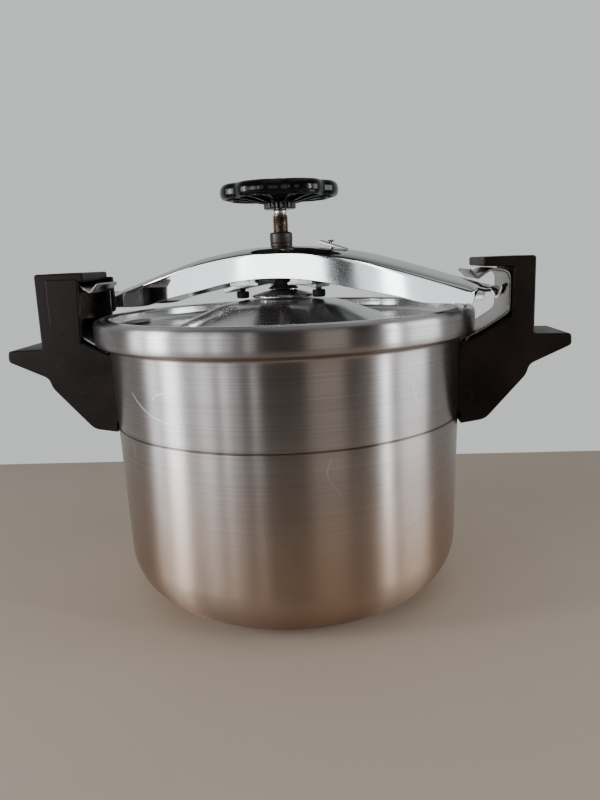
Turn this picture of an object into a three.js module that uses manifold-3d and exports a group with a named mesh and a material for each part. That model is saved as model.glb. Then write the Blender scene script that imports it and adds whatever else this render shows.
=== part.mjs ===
// Stovetop pressure cooker, built as separate pieces.
// Millimetres, +Z up, base on z = 0, pot axis on Z, handles along X.
import * as THREE from 'three';
import Module from 'manifold-3d';

const wasm = await Module();
wasm.setup();

// ---- driving dimensions -------------------------------------------------
const BASE_R = 120.5;
const WALL_TOP_R = 123.9;
const WALL_TOP_Z = 181.1;
const CORNER_R = 38;
const WALL_T = 3.2;
const RIM_R = 133.7;
const RIM_INNER_R = 127.9;
const RIM_LOW_Z = 185.6;
const RIM_TOP_Z = 199.8;
const LEDGE_Z = 185.8;
const SCRIBE_Z = 126.6;
const LID_R = 126.6;
const LID_T = 2.4;
const LID_FLOOR_Z = 190.6;
const LID_EDGE_Z = 200.3;
const CONE_FOOT_R = 82;
const CONE_TOP_R = 44;
const CONE_TOP_Z = 205;
const DOME_TOP_Z = 209.4;
const CAP_R = 22.5;
const VENT_X = -4;
const VENT_Y = 58;
const BAR_YAW = THREE.MathUtils.degToRad(-20.5);
const BAR_HALF_W = 20;
const BAR_T = 2;
const BAR_TOP_Z = 244;
const BAR_TIP_R = 153.6;
const SCREW_R = 5.45;
const SCREW_ROOT_R = 4.75;
const SCREW_PITCH = 1.5;
const KNOB_R = 41.3;
const KNOB_LOBES = 7;
const KNOB_NOTCH = THREE.MathUtils.degToRad(-85.4);
const KNOB_LOW_Z = 276.4;
const KNOB_HIGH_Z = 286.4;
const HANDLE_HALF_W = 25.9;
const PANEL_RISE = 0.9;
const SLOT_R = 156.4;
const LUG_HALF_W = 21.5;
const LUG_T = 2;
const GAP = 0.3;
const SEG = 64;

// ---- finishes -----------------------------------------------------------
const finish = (hex, metal, rough) => new THREE.MeshStandardMaterial({
  color: hex,
  metalness: metal,
  roughness: rough,
});
const brushedAlu = finish(0xb9bbbd, 0.9, 0.42);
const polishedAlu = finish(0xc9cbcc, 0.95, 0.18);
const chrome = finish(0xd0d3d6, 1.0, 0.1);
const bakelite = finish(0x1b1412, 0.0, 0.42);
const glossBlack = finish(0x0a0a0b, 0.0, 0.15);
const zinc = finish(0x8f9390, 0.7, 0.55);
const darkSteel = finish(0x3c3431, 0.8, 0.5);
const screwSteel = finish(0x9a8a70, 0.85, 0.4);
const rubber = finish(0x18181a, 0.0, 0.8);
const grommet = finish(0x7c2f22, 0.0, 0.7);
const brass = finish(0xb08d4a, 0.9, 0.35);

const group = new THREE.Group();

function add(name, geometry, material) {
  const mesh = new THREE.Mesh(geometry, material);
  mesh.name = name;
  group.add(mesh);
  return mesh;
}

// ---- solid helpers ------------------------------------------------------
function toManifold(geometry) {
  const plain = geometry.index ? geometry.toNonIndexed() : geometry;
  const p = plain.attributes.position;
  const keys = new Map();
  const verts = [];
  const tris = [];
  for (let i = 0; i < p.count; i += 3) {
    const ids = [];
    for (let k = 0; k < 3; k += 1) {
      const c = [p.getX(i + k), p.getY(i + k), p.getZ(i + k)];
      const key = c.map((v) => Math.round(v * 1e4)).join(',');
      if (!keys.has(key)) {
        keys.set(key, verts.length / 3);
        verts.push(...c);
      }
      ids.push(keys.get(key));
    }
    const same = ids[0] === ids[1] || ids[1] === ids[2] || ids[0] === ids[2];
    if (!same) {
      tris.push(...ids);
    }
  }
  const mesh = new wasm.Mesh({
    numProp: 3,
    vertProperties: new Float32Array(verts),
    triVerts: new Uint32Array(tris),
  });
  return new wasm.Manifold(mesh);
}

function fromManifold(solid) {
  const m = solid.getMesh();
  const g = new THREE.BufferGeometry();
  const pos = new Float32Array((m.vertProperties.length / m.numProp) * 3);
  for (let i = 0; i < pos.length / 3; i += 1) {
    for (let k = 0; k < 3; k += 1) {
      pos[i * 3 + k] = m.vertProperties[i * m.numProp + k];
    }
  }
  g.setAttribute('position', new THREE.BufferAttribute(pos, 3));
  g.setIndex(new THREE.BufferAttribute(new Uint32Array(m.triVerts), 1));
  const flat = g.toNonIndexed();
  flat.computeVertexNormals();
  return flat;
}

const cutAway = (body, ...tools) => tools.reduce((s, t) => s.subtract(t), body);

function rod(radius, low, high, x = 0, y = 0, sides = 32) {
  return wasm.Manifold.cylinder(high - low, radius, radius, sides).translate([x, y, low]);
}

function rodX(radius, x0, x1, y, z, sides = 24) {
  const c = wasm.Manifold.cylinder(x1 - x0, radius, radius, sides);
  return c.rotate([0, 90, 0]).translate([x0, y, z]);
}

function block(x0, x1, y0, y1, z0, z1) {
  return wasm.Manifold.cube([x1 - x0, y1 - y0, z1 - z0]).translate([x0, y0, z0]);
}

// Turned piece about Z. Points are [radius, height], closed on themselves
// or ending on the axis.
function turned(points, segments = SEG) {
  const profile = points.map(([r, z]) => new THREE.Vector2(r, z));
  const g = new THREE.LatheGeometry(profile, segments);
  g.rotateX(Math.PI / 2);
  return g;
}

// Outline given in X-Z, pushed along Y from y0 to y1.
function slab(points, y0, y1) {
  const cross = new wasm.CrossSection([points.map(([x, z]) => [x, z])], 'Positive');
  const solid = cross.extrude(y1 - y0);
  return solid.rotate([90, 0, 0]).translate([0, y1, 0]);
}

function arcPoints(cx, cz, radius, a0, a1, steps) {
  const out = [];
  for (let i = 0; i <= steps; i += 1) {
    const a = THREE.MathUtils.degToRad(a0 + ((a1 - a0) * i) / steps);
    out.push([cx + radius * Math.cos(a), cz + radius * Math.sin(a)]);
  }
  return out;
}

// Rounds every corner of a closed outline.
function soften(points, radius) {
  const out = [];
  const n = points.length;
  for (let i = 0; i < n; i += 1) {
    const p = new THREE.Vector2(...points[i]);
    const a = new THREE.Vector2(...points[(i + n - 1) % n]).sub(p);
    const b = new THREE.Vector2(...points[(i + 1) % n]).sub(p);
    const reach = Math.min(radius, a.length() * 0.4, b.length() * 0.4);
    const s = p.clone().add(a.normalize().multiplyScalar(reach));
    const e = p.clone().add(b.normalize().multiplyScalar(reach));
    for (let k = 0; k <= 2; k += 1) {
      const t = k / 2;
      const q = s.clone().multiplyScalar((1 - t) * (1 - t));
      q.add(p.clone().multiplyScalar(2 * t * (1 - t)));
      q.add(e.clone().multiplyScalar(t * t));
      out.push([q.x, q.y]);
    }
  }
  return out;
}

// Thickens an open path into a closed strip outline of even thickness.
function strip(path, t) {
  const left = [];
  const right = [];
  for (let i = 0; i < path.length; i += 1) {
    const p = new THREE.Vector2(...path[i]);
    const a = new THREE.Vector2(...path[Math.max(0, i - 1)]);
    const b = new THREE.Vector2(...path[Math.min(path.length - 1, i + 1)]);
    const d1 = p.clone().sub(a).normalize();
    const d2 = b.clone().sub(p).normalize();
    if (i === 0) {
      d1.copy(d2);
    }
    if (i === path.length - 1) {
      d2.copy(d1);
    }
    const n1 = new THREE.Vector2(-d1.y, d1.x);
    const n2 = new THREE.Vector2(-d2.y, d2.x);
    const m = n1.clone().add(n2).normalize();
    const reach = t / 2 / Math.max(0.5, m.dot(n1));
    left.push([p.x + m.x * reach, p.y + m.y * reach]);
    right.push([p.x - m.x * reach, p.y - m.y * reach]);
  }
  return [...left, ...right.reverse()];
}

function counterClockwise(points) {
  let area = 0;
  for (let i = 0; i < points.length; i += 1) {
    const [x0, y0] = points[i];
    const [x1, y1] = points[(i + 1) % points.length];
    area += x0 * y1 - x1 * y0;
  }
  return area > 0 ? points : [...points].reverse();
}

const slabOf = (points, y0, y1) => slab(counterClockwise(points), y0, y1);
const mirrorX = (solid) => solid.mirror([1, 0, 0]);

// ---- pot body -----------------------------------------------------------
const wallRadius = (z) => BASE_R + ((WALL_TOP_R - BASE_R) * (z - CORNER_R)) / (WALL_TOP_Z - CORNER_R);

function potProfile() {
  const outer = [[0, 0], [BASE_R - CORNER_R, 0]];
  outer.push(...arcPoints(BASE_R - CORNER_R, CORNER_R, CORNER_R, -78, 0, 6));
  outer.push([wallRadius(SCRIBE_Z - 0.8), SCRIBE_Z - 0.8]);
  outer.push([wallRadius(SCRIBE_Z) - 0.5, SCRIBE_Z]);
  outer.push([wallRadius(SCRIBE_Z + 0.8), SCRIBE_Z + 0.8]);
  outer.push([WALL_TOP_R, WALL_TOP_Z - 0.6]);
  outer.push([WALL_TOP_R + 3.4, WALL_TOP_Z + 0.6]);
  outer.push([RIM_R - 1.8, RIM_LOW_Z - 2.2]);
  outer.push([RIM_R, RIM_LOW_Z]);
  outer.push([RIM_R, RIM_TOP_Z - 4.2]);
  outer.push([RIM_R - 0.8, RIM_TOP_Z - 1.7]);
  outer.push([RIM_R - 2.6, RIM_TOP_Z - 0.2]);
  outer.push([RIM_INNER_R + 1, RIM_TOP_Z]);
  outer.push([RIM_INNER_R, RIM_TOP_Z - 0.8]);
  outer.push([RIM_INNER_R, LEDGE_Z]);
  outer.push([WALL_TOP_R - WALL_T + 0.6, LEDGE_Z]);
  outer.push([WALL_TOP_R - WALL_T, LEDGE_Z - 0.8]);
  const inR = CORNER_R - WALL_T;
  outer.push(...arcPoints(BASE_R - CORNER_R, CORNER_R + 0.8, inR, 0, -80, 5));
  outer.push([BASE_R - CORNER_R, 4]);
  outer.push([0, 4]);
  return outer;
}

// Positions of the lug rivets and handle screws on each side.
const RIVET_Y = [-13, 13];
const RIVET_Z = 163;
const SCREW_Z = 141;
const RIVET_SHANK = 2.6;

let pot = toManifold(turned(potProfile(), 64));
for (const y of RIVET_Y) {
  for (const side of [-1, 1]) {
    const hole = rodX(RIVET_SHANK + GAP, 112, 128, y, RIVET_Z);
    pot = pot.subtract(side > 0 ? hole : mirrorX(hole));
  }
}
add('pot_body', fromManifold(pot), brushedAlu);

// ---- lid, gasket and cap ------------------------------------------------
function lidProfile() {
  const top = [[0, DOME_TOP_Z], [12, DOME_TOP_Z - 0.35], [24, DOME_TOP_Z - 1.4]];
  top.push([34, DOME_TOP_Z - 2.6], [CONE_TOP_R, CONE_TOP_Z], [52, CONE_TOP_Z - 3]);
  top.push([CONE_FOOT_R - 5, LID_FLOOR_Z + 1.5], [CONE_FOOT_R, LID_FLOOR_Z + 0.2]);
  top.push([CONE_FOOT_R + 4, LID_FLOOR_Z], [116.5, LID_FLOOR_Z]);
  top.push([119.4, LID_FLOOR_Z + 0.9], [121.2, LID_FLOOR_Z + 3], [121.8, 197.4]);
  const edge = arcPoints(LID_R - 2.1, LID_EDGE_Z - 2.1, 2.1, 165, -75, 5);
  const low = [[LID_R - 2, 195.2], [LID_R - 2.2, LID_FLOOR_Z - LID_T + 1.2]];
  low.push([LID_R - 3.4, LID_FLOOR_Z - LID_T], [CONE_FOOT_R + 3, LID_FLOOR_Z - LID_T]);
  low.push([CONE_FOOT_R - 1.5, LID_FLOOR_Z - LID_T + 0.3]);
  low.push([CONE_FOOT_R - 6.2, LID_FLOOR_Z - LID_T + 1.6], [51, CONE_TOP_Z - 5.6]);
  low.push([CONE_TOP_R - 1, CONE_TOP_Z - LID_T - 0.2], [33.4, DOME_TOP_Z - LID_T - 2.6]);
  low.push([24, DOME_TOP_Z - LID_T - 1.4], [12, DOME_TOP_Z - LID_T - 0.35]);
  low.push([0, DOME_TOP_Z - LID_T]);
  return [...top, ...edge, ...low].reverse();
}

const PLUG_X = -46;
const PLUG_Y = 84;
const ventHole = rod(3.2 + GAP, 185, 215, VENT_X, VENT_Y, 24);
const plugHole = rod(5 + GAP, 180, 200, PLUG_X, PLUG_Y, 24);
const lidSolid = toManifold(turned(lidProfile(), 56));
add('lid', fromManifold(cutAway(lidSolid, ventHole, plugHole)), polishedAlu);

const gasketLow = LEDGE_Z + GAP;
const gasketHigh = LID_FLOOR_Z - LID_T - GAP;
const gasketMid = (gasketLow + gasketHigh) / 2;
add('lid_gasket', turned([
  [121.6, gasketMid], [122.4, gasketLow], [126.6, gasketLow], [127.3, gasketMid],
  [126.6, gasketHigh], [122.4, gasketHigh], [121.6, gasketMid],
], 56), rubber);

const capLow = DOME_TOP_Z + GAP;
add('lid_cap', turned([
  [0, capLow], [13, capLow - 0.35], [CAP_R - 1, capLow - 1], [CAP_R, capLow - 0.3],
  [CAP_R - 0.6, capLow + 0.9], [15, capLow + 3], [9, capLow + 4.2], [0, capLow + 4.6],
], 40), polishedAlu);

// ---- vent nozzle, weight and blow-out plug ------------------------------
const VENT_SEAT = 203;
add('vent_nozzle', turned([
  [1.2, 188], [3.1, 188], [3.1, VENT_SEAT], [5.6, VENT_SEAT], [5.6, VENT_SEAT + 3],
  [3.4, VENT_SEAT + 4], [3, 218], [1.2, 219.5], [1.2, 188],
], 20).translate(VENT_X, VENT_Y, 0), brass);
add('vent_nut', fromManifold(cutAway(
  wasm.Manifold.cylinder(4, 6.4, 6.4, 6).translate([VENT_X, VENT_Y, 189.2]),
  rod(3.1 + GAP, 180, 200, VENT_X, VENT_Y, 32),
)), brass);
add('regulator_weight', turned([
  [3.1 + 0.6, 209.2], [10.2, 209.2], [11, 210.2], [11, 222], [9.5, 224.4],
  [4.2, 225.4], [3.4, 227.4], [4.6, 229.6], [3.6, 231.2], [0, 231.6],
  [0, 221.2], [1.6, 220.6], [3.1 + 0.6, 218.6], [3.1 + 0.6, 209.2],
], 28).translate(VENT_X, VENT_Y, 0), chrome);
add('safety_plug', turned([
  [0, 184.6], [7, 184.6], [7.4, 185.4], [7, LID_FLOOR_Z - LID_T - GAP],
  [4.9, LID_FLOOR_Z - LID_T - GAP], [4.9, LID_FLOOR_Z + GAP],
  [7, LID_FLOOR_Z + GAP], [7, LID_FLOOR_Z + 2], [5.6, LID_FLOOR_Z + 3.2], [0, LID_FLOOR_Z + 3.6],
], 24).translate(PLUG_X, PLUG_Y, 0), grommet);

// ---- stirrup bar --------------------------------------------------------
// Arched inverted channel with a bent tongue at each end.
function mix(table, r) {
  for (let i = 1; i < table.length; i += 1) {
    if (r <= table[i][0]) {
      const [r0, v0] = table[i - 1];
      const [r1, v1] = table[i];
      return v0 + ((v1 - v0) * (r - r0)) / (r1 - r0);
    }
  }
  return table[table.length - 1][1];
}

const CREST = [
  [0, BAR_TOP_Z], [14, BAR_TOP_Z], [30, 242.6], [60, 237.8], [90, 229.8], [115, 222.2],
  [135, 216.2], [144, 213.6], [147.6, 213.4], [150.6, 209.4], [BAR_TIP_R, 215.2],
];
const SKIRT = [
  [0, 222.4], [30, 220.4], [60, 214.6], [90, 208.8], [106, 204.6], [138, 203.6],
  [140, 203.4], [145, 209.2], [147.6, 210.4], [150.6, 206.4], [BAR_TIP_R, 212.2],
];
const HALF = [[0, BAR_HALF_W], [138, BAR_HALF_W], [147.6, BAR_HALF_W - 2], [BAR_TIP_R, BAR_HALF_W - 5]];

function barSection(r) {
  const crest = mix(CREST, r);
  const skirt = Math.min(mix(SKIRT, r), crest - BAR_T - 0.6);
  const half = mix(HALF, r);
  const crown = Math.min(4.6, (crest - skirt) * 0.4);
  const arch = (y, h, top, drop) => top - drop * (y / h) ** 4;
  const pts = [];
  const steps = 8;
  pts.push([half, skirt]);
  for (let i = 0; i <= steps; i += 1) {
    const y = half * Math.cos((Math.PI * i) / steps);
    pts.push([y, arch(y, half, crest, crown)]);
  }
  pts.push([-half, skirt]);
  const inner = half - BAR_T;
  pts.push([-inner, skirt]);
  for (let i = steps; i >= 0; i -= 1) {
    const y = inner * Math.cos((Math.PI * i) / steps);
    pts.push([y, Math.max(skirt + 0.4, arch(y, half, crest - BAR_T, crown))]);
  }
  pts.push([inner, skirt]);
  return pts;
}

function barGeometry() {
  const reach = [0, 14, 30, 45, 60, 75, 90, 106, 122, 138, 140, 144.4, 147.6, 150.6, BAR_TIP_R];
  const stations = [...reach.slice(1).reverse().map((r) => -r), ...reach];
  const loops = stations.map((r) => barSection(Math.abs(r)).map(([y, z]) => [r, y, z]));
  const n = loops[0].length;
  const pos = [];
  const tri = (a, b, c) => pos.push(...a, ...b, ...c);
  for (let s = 0; s < loops.length - 1; s += 1) {
    for (let i = 0; i < n; i += 1) {
      const j = (i + 1) % n;
      tri(loops[s][i], loops[s][j], loops[s + 1][j]);
      tri(loops[s][i], loops[s + 1][j], loops[s + 1][i]);
    }
  }
  const flat = loops[0].map(([, y, z]) => new THREE.Vector2(y, z));
  for (const [a, b, c] of THREE.ShapeUtils.triangulateShape(flat, [])) {
    tri(loops[0][a], loops[0][c], loops[0][b]);
    const last = loops[loops.length - 1];
    tri(last[a], last[b], last[c]);
  }
  const g = new THREE.BufferGeometry();
  g.setAttribute('position', new THREE.BufferAttribute(new Float32Array(pos), 3));
  return g;
}

const BUSH_SPIGOT_R = 7;
let bar = toManifold(barGeometry());
if (bar.volume() < 0) {
  throw new Error('bar faces point inward');
}
bar = bar.subtract(rod(BUSH_SPIGOT_R + GAP, 230, 260, 0, 0, 40));

const CLIP_R = 46;
const clipY = -6;
const clipPin = [CLIP_R - 6, clipY];
bar = bar.subtract(rod(1.5 + GAP, 225, 260, ...clipPin, 20));
const turnBar = (solid) => solid.rotate([0, 0, THREE.MathUtils.radToDeg(BAR_YAW)]);
add('stirrup_bar', fromManifold(turnBar(bar)), chrome);

// Small polished leaf fixed on the bar beside the bush.
const leafBase = mix(CREST, CLIP_R) + 0.9;
let leaf = slabOf([
  [CLIP_R + 5, leafBase - 1.4], [CLIP_R + 5.4, leafBase - 0.3], [CLIP_R - 14, leafBase + 6.2],
  [CLIP_R - 15.2, leafBase + 3.6], [CLIP_R - 9, leafBase + 1.9], [CLIP_R - 3, leafBase + 0.6],
], clipY - 3.2, clipY + 3.2);
leaf = leaf.subtract(rod(1.5 + GAP, 225, 260, ...clipPin, 20));
add('bar_leaf', fromManifold(turnBar(leaf)), chrome);
const leafTopAtPin = leafBase + 3.5;
const pinLow = mix(CREST, CLIP_R - 6) - BAR_T - 1.6;
add('leaf_rivet', turned([
  [0, pinLow - 0.8], [2.6, pinLow - 0.8], [2.6, pinLow - 0.2], [1.5, pinLow],
  [1.5, leafTopAtPin + 1.2], [2.6, leafTopAtPin + 1.3], [2.1, leafTopAtPin + 2.1], [0, leafTopAtPin + 2.4],
], 24).translate(...clipPin, 0).rotateZ(BAR_YAW), chrome);

// ---- threaded bush, spindle and thrust foot -----------------------------
const BUSH_LOW = BAR_TOP_Z + GAP;
const BUSH_TOP = 253.8;
add('threaded_bush', turned([
  [SCREW_R + GAP, 238.6], [BUSH_SPIGOT_R, 238.6], [BUSH_SPIGOT_R, BUSH_LOW],
  [7.9, BUSH_LOW], [7.9, BUSH_TOP - 0.8], [7.2, BUSH_TOP], [SCREW_R + GAP, BUSH_TOP],
  [SCREW_R + GAP, 238.6],
], 32), darkSteel);

const FOOT_LOW = capLow + 4.6 + GAP;
const FOOT_TOP = FOOT_LOW + 7.6;
const STEM_R = 3.2;
function spindleProfile() {
  const pts = [[0, FOOT_LOW + 1.6], [STEM_R, FOOT_LOW + 1.6], [STEM_R, FOOT_TOP + GAP]];
  const low = FOOT_TOP + GAP + 0.6;
  const turns = Math.floor((265.4 - low) / SCREW_PITCH);
  pts.push([SCREW_ROOT_R, low - 0.3]);
  for (let i = 0; i < turns; i += 1) {
    const z = low + i * SCREW_PITCH;
    pts.push([SCREW_ROOT_R, z], [SCREW_R, z + SCREW_PITCH * 0.5]);
  }
  const top = low + turns * SCREW_PITCH;
  pts.push([SCREW_ROOT_R, top], [4.4, top + 0.5], [4.4, 269.3], [3.9, 269.4]);
  pts.push([3.9, 285.8], [0, 285.8]);
  return pts;
}
add('spindle_screw', turned(spindleProfile(), 16), screwSteel);
add('thrust_foot', turned([
  [0, FOOT_LOW], [10.4, FOOT_LOW], [10.8, FOOT_LOW + 0.6], [9, FOOT_LOW + 1.5], [7.2, FOOT_LOW + 2.6],
  [6, FOOT_LOW + 4.2], [5.5, FOOT_LOW + 6], [5.4, FOOT_TOP], [STEM_R + GAP, FOOT_TOP], [STEM_R + GAP, FOOT_LOW + 1.3],
  [0, FOOT_LOW + 1.3],
], 32), glossBlack);

// ---- yoke plate under the bar -------------------------------------------
const YOKE_HALF_W = 13;
const yokePath = [[-41, 214.2], [-34, 216.4], [-14, 219.6], [14, 219.6], [30, 216.6]];
const yokeSolid = slabOf(strip(yokePath, 3.4), -YOKE_HALF_W, YOKE_HALF_W);
const yokeTabs = [block(-32, -14, 13.2, 17.4, 217, 223.6), block(14, 29, 13.2, 17.4, 217, 223.6)];
const yokeTabsNear = yokeTabs.map((t) => t.mirror([0, 1, 0]));
const footPlaces = [['yoke_foot_left', -33], ['yoke_foot_right', 27.4]];
const hole = rod(11.6, 200, 232, 0, 0, 40);
const sideRails = [...yokeTabs, ...yokeTabsNear].map((t) => t.translate([0, 0, 0]));
const nearGap = block(-11.6, 11.6, -18, 0, 210, 226);
let yoke = yokeSolid.subtract(hole);
yoke = yoke.add(block(-34, 30, 12, 17.4, 217.4, 219.6)).add(block(-34, 30, -17.4, -12, 217.4, 219.6));
yoke = sideRails.reduce((s, t) => s.add(t), yoke).subtract(nearGap);
for (const [, x] of footPlaces) {
  yoke = yoke.subtract(rod(2 + GAP, 205, 232, x, 0, 20));
}
add('yoke_plate', fromManifold(turnBar(yoke)), zinc);
for (const [name, x] of footPlaces) {
  const seat = name.endsWith('left') ? 214.4 : 214.9;
  const cone = name.endsWith('left') ? DOME_TOP_Z - 1.8 : DOME_TOP_Z - 1.5;
  add(name, turned([
    [0, cone + 0.5], [3.8, cone + 0.5], [4.6, cone + 1.3], [4.6, seat - 1.8], [4, seat - 1.3],
    [2, seat - 1.3], [2, seat + 5], [0, seat + 5],
  ], 20).translate(x, 0, 0).rotateZ(BAR_YAW), rubber);
}

// ---- knob ---------------------------------------------------------------
function knobRadius(angle, depth) {
  const wave = 0.5 + 0.5 * Math.cos(KNOB_LOBES * (angle - KNOB_NOTCH));
  return KNOB_R - depth * wave ** 3;
}

function knobSolid() {
  const rings = [
    [0.86, 1, KNOB_LOW_Z], [0.955, 1, KNOB_LOW_Z + 0.4], [0.99, 1, KNOB_LOW_Z + 2],
    [1, 1, KNOB_LOW_Z + 4.6], [0.995, 1, KNOB_HIGH_Z - 3], [0.965, 1, KNOB_HIGH_Z - 1],
    [0.9, 1, KNOB_HIGH_Z], [0.62, 0.3, KNOB_HIGH_Z + 0.5], [0.2, 0, KNOB_HIGH_Z + 1],
  ];
  const under = [
    [0.36, 0, 272.8], [0.29, 0, 269.6], [0.27, 0, 269.4],
  ];
  const sides = 84;
  const all = [...under.reverse(), ...rings];
  const loops = all.map(([k, wave, z]) => {
    const loop = [];
    for (let i = 0; i < sides; i += 1) {
      const a = (2 * Math.PI * i) / sides;
      const rr = k * (wave * knobRadius(a, 3) + (1 - wave) * KNOB_R);
      loop.push([rr * Math.cos(a), rr * Math.sin(a), z]);
    }
    return loop;
  });
  const pos = [];
  const tri = (a, b, c) => pos.push(...a, ...b, ...c);
  for (let s = 0; s < loops.length - 1; s += 1) {
    for (let i = 0; i < sides; i += 1) {
      const j = (i + 1) % sides;
      tri(loops[s][i], loops[s][j], loops[s + 1][j]);
      tri(loops[s][i], loops[s + 1][j], loops[s + 1][i]);
    }
  }
  const low = [0, 0, all[0][2]];
  const high = [0, 0, all[all.length - 1][2]];
  for (let i = 0; i < sides; i += 1) {
    const j = (i + 1) % sides;
    tri(low, loops[0][j], loops[0][i]);
    tri(high, loops[loops.length - 1][i], loops[loops.length - 1][j]);
  }
  const g = new THREE.BufferGeometry();
  g.setAttribute('position', new THREE.BufferAttribute(new Float32Array(pos), 3));
  return toManifold(g);
}

let knob = knobSolid().subtract(rod(3.9 + GAP, 260, 286.1, 0, 0, 32));
knob = knob.subtract(rod(4.6 + GAP, 284.6, 292, 0, 0, 32));
knob = knob.subtract(rod(4.7, 260, 269.7, 0, 0, 32));
add('knob', fromManifold(knob), glossBlack);
add('knob_insert', turned([
  [0, 286.4], [4.5, 286.4], [4.5, KNOB_HIGH_Z + 1.3], [5.6, KNOB_HIGH_Z + 1.3], [5.6, 289.4],
  [5, 290], [2.6, 290], [2.2, 289.2], [0, 289.2],
], 32), glossBlack);

// ---- lugs ---------------------------------------------------------------
const LUG_WALL_R = 125.4;
function lugPath() {
  const wallOut = SLOT_R - GAP - LUG_T / 2;
  return [
    [LUG_WALL_R, 131], [LUG_WALL_R + 0.55, 172], [127.3, 178.2], [134.6, 181.3],
    [wallOut - 3.6, 191.9], [wallOut - 0.8, 194.6], [wallOut, 198], [wallOut, 217],
    [wallOut - 1.4, 220.6], [wallOut - 5, 222.4], [143.8, 223.2], [141.2, 222.6],
    [133.7, 217.6], [128.4, 222.9],
  ];
}

function lugSolid(wallSide) {
  let s = slabOf(strip(lugPath(), LUG_T), -LUG_HALF_W, LUG_HALF_W);
  const shell = rod(wallRadius(172) + GAP + 0.1, 120, 176, 0, 0, 96);
  s = s.subtract(shell);
  if (wallSide) {
    const cheek = slabOf([
      [133, 196.6], [SLOT_R - GAP - 1, 196.6], [SLOT_R - GAP - 1, 220.4], [133, 220.4],
    ], LUG_HALF_W - LUG_T, LUG_HALF_W);
    s = s.add(cheek.translate([0, 0, 0]));
  }
  for (const y of RIVET_Y) {
    s = s.subtract(rodX(RIVET_SHANK + GAP, 118, 132, y, RIVET_Z));
    s = s.subtract(rodX(2.4 + GAP, 118, 134, y, SCREW_Z));
  }
  return s;
}

// ---- handles ------------------------------------------------------------
function handleOutline() {
  return soften([
    [136.3, 231.4], [170.9, 231.4], [170.9, 179.4], [195.7, 178.8], [196.2, 171],
    [168.4, 158.4], [166.4, 151.4], [139, 120.6], [121.4, 117.8], [119, 121],
    [119, 172.2], [135.6, 180], [SLOT_R, 192.4], [SLOT_R, 223.6], [154, 225.2], [136.3, 225.2],
  ], 2.4);
}

function handleSolid(pocket) {
  let s = slabOf(handleOutline(), -HANDLE_HALF_W, HANDLE_HALF_W);
  if (pocket) {
    const near = slabOf(soften([
      [140.6, 227.2], [162.8, 227.2], [162.8, 195.8], [142.2, 181.6],
    ], 0.8), -HANDLE_HALF_W - PANEL_RISE, -LUG_HALF_W - GAP);
    const far = slabOf(soften([
      [131.6, 227.4], [157, 227.4], [157, 192], [137, 183], [136.6, 199.4], [131.4, 201.8],
    ], 0.8), LUG_HALF_W + GAP, HANDLE_HALF_W);
    s = s.add(near).add(far);
  }
  // curved seat against the pot wall and room for the lug strap
  const seat = wasm.Manifold.cylinder(
    70,
    wallRadius(112) + GAP,
    wallRadius(182) + GAP,
    96,
  ).translate([0, 0, 112]);
  s = s.subtract(seat);
  const strap = slabOf([
    [118, 130.5], [LUG_WALL_R + 1 + GAP, 130.5], [LUG_WALL_R + 1.6 + GAP, 172.4], [129, 176.2],
    [124, 190], [118, 190],
  ], -LUG_HALF_W - GAP, LUG_HALF_W + GAP);
  s = s.subtract(strap);
  const relief = slabOf([
    [116, 116], [122.1, 116], [122.3, 124], [121.6, 125.8], [120.4, 126.4], [116, 126.4],
  ], -40, 40);
  s = s.subtract(relief);
  const shank = RIVET_Y.map((y) => rodX(2.4 + GAP, 118, 175, y, SCREW_Z));
  const heads = RIVET_Y.map((y) => rodX(5 + GAP, 145.5, 175, y, SCREW_Z));
  const rivets = RIVET_Y.map((y) => rodX(5.2, 120, 131.2, y, RIVET_Z));
  s = cutAway(s, ...shank, ...heads, ...rivets);
  return s;
}

function sides(make, base, material) {
  for (const [side, sign] of [['right', 1], ['left', -1]]) {
    const solid = make(side === 'left');
    add(`${base}_${side}`, fromManifold(sign > 0 ? solid : mirrorX(solid)), material);
  }
}

sides(handleSolid, 'handle', bakelite);
sides(lugSolid, 'lug', chrome);

// ---- rivets and screws --------------------------------------------------
function rivetProfile() {
  const inner = WALL_TOP_R - WALL_T - 2.6;
  return [
    [0, inner - 1.8], [3, inner - 1.6], [4.6, inner - 0.6], [4.8, inner],
    [RIVET_SHANK, inner], [RIVET_SHANK, 127.9], [4.6, 127.9], [4.4, 129], [3, 130], [0, 130.2],
  ];
}

function screwProfile() {
  return [
    [0, 119.9 + 4], [2.4, 119.9 + 4], [2.4, 146], [4.9, 146], [4.9, 148], [3.6, 149.4], [1.2, 149.8],
    [0, 149.8],
  ];
}

function alongX(profile, y, z, sign) {
  const g = turned(profile, 16);
  g.rotateY((Math.PI / 2) * sign);
  return g.translate(0, y, z);
}

for (const [side, sign] of [['right', 1], ['left', -1]]) {
  RIVET_Y.forEach((y, i) => {
    add(`lug_rivet_${side}_${i + 1}`, alongX(rivetProfile(), y, RIVET_Z, sign), polishedAlu);
    add(`handle_screw_${side}_${i + 1}`, alongX(screwProfile(), y, SCREW_Z, sign), screwSteel);
  });
}

export default group;
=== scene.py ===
# %% [markdown]
# # A stovetop pressure cooker, dressed piece by piece
#
# The cooker is a spun aluminium pot with a lid that is clamped down by an arched steel bar. A black
# screw knob sits in the middle of the bar, and the bar's two ends catch in bakelite handles. The frame
# brings in the measured solids and the bodies they move with. Everything below is made around that
# frame, in the same millimetres, so no piece has to be fitted by eye. The solids could have been shown
# as they are, but their few flat sides would show in polished metal, so finer pieces stand for them.

# %% Load the frame
import math

import bmesh
import bpy
from mathutils import Matrix, Vector


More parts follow.
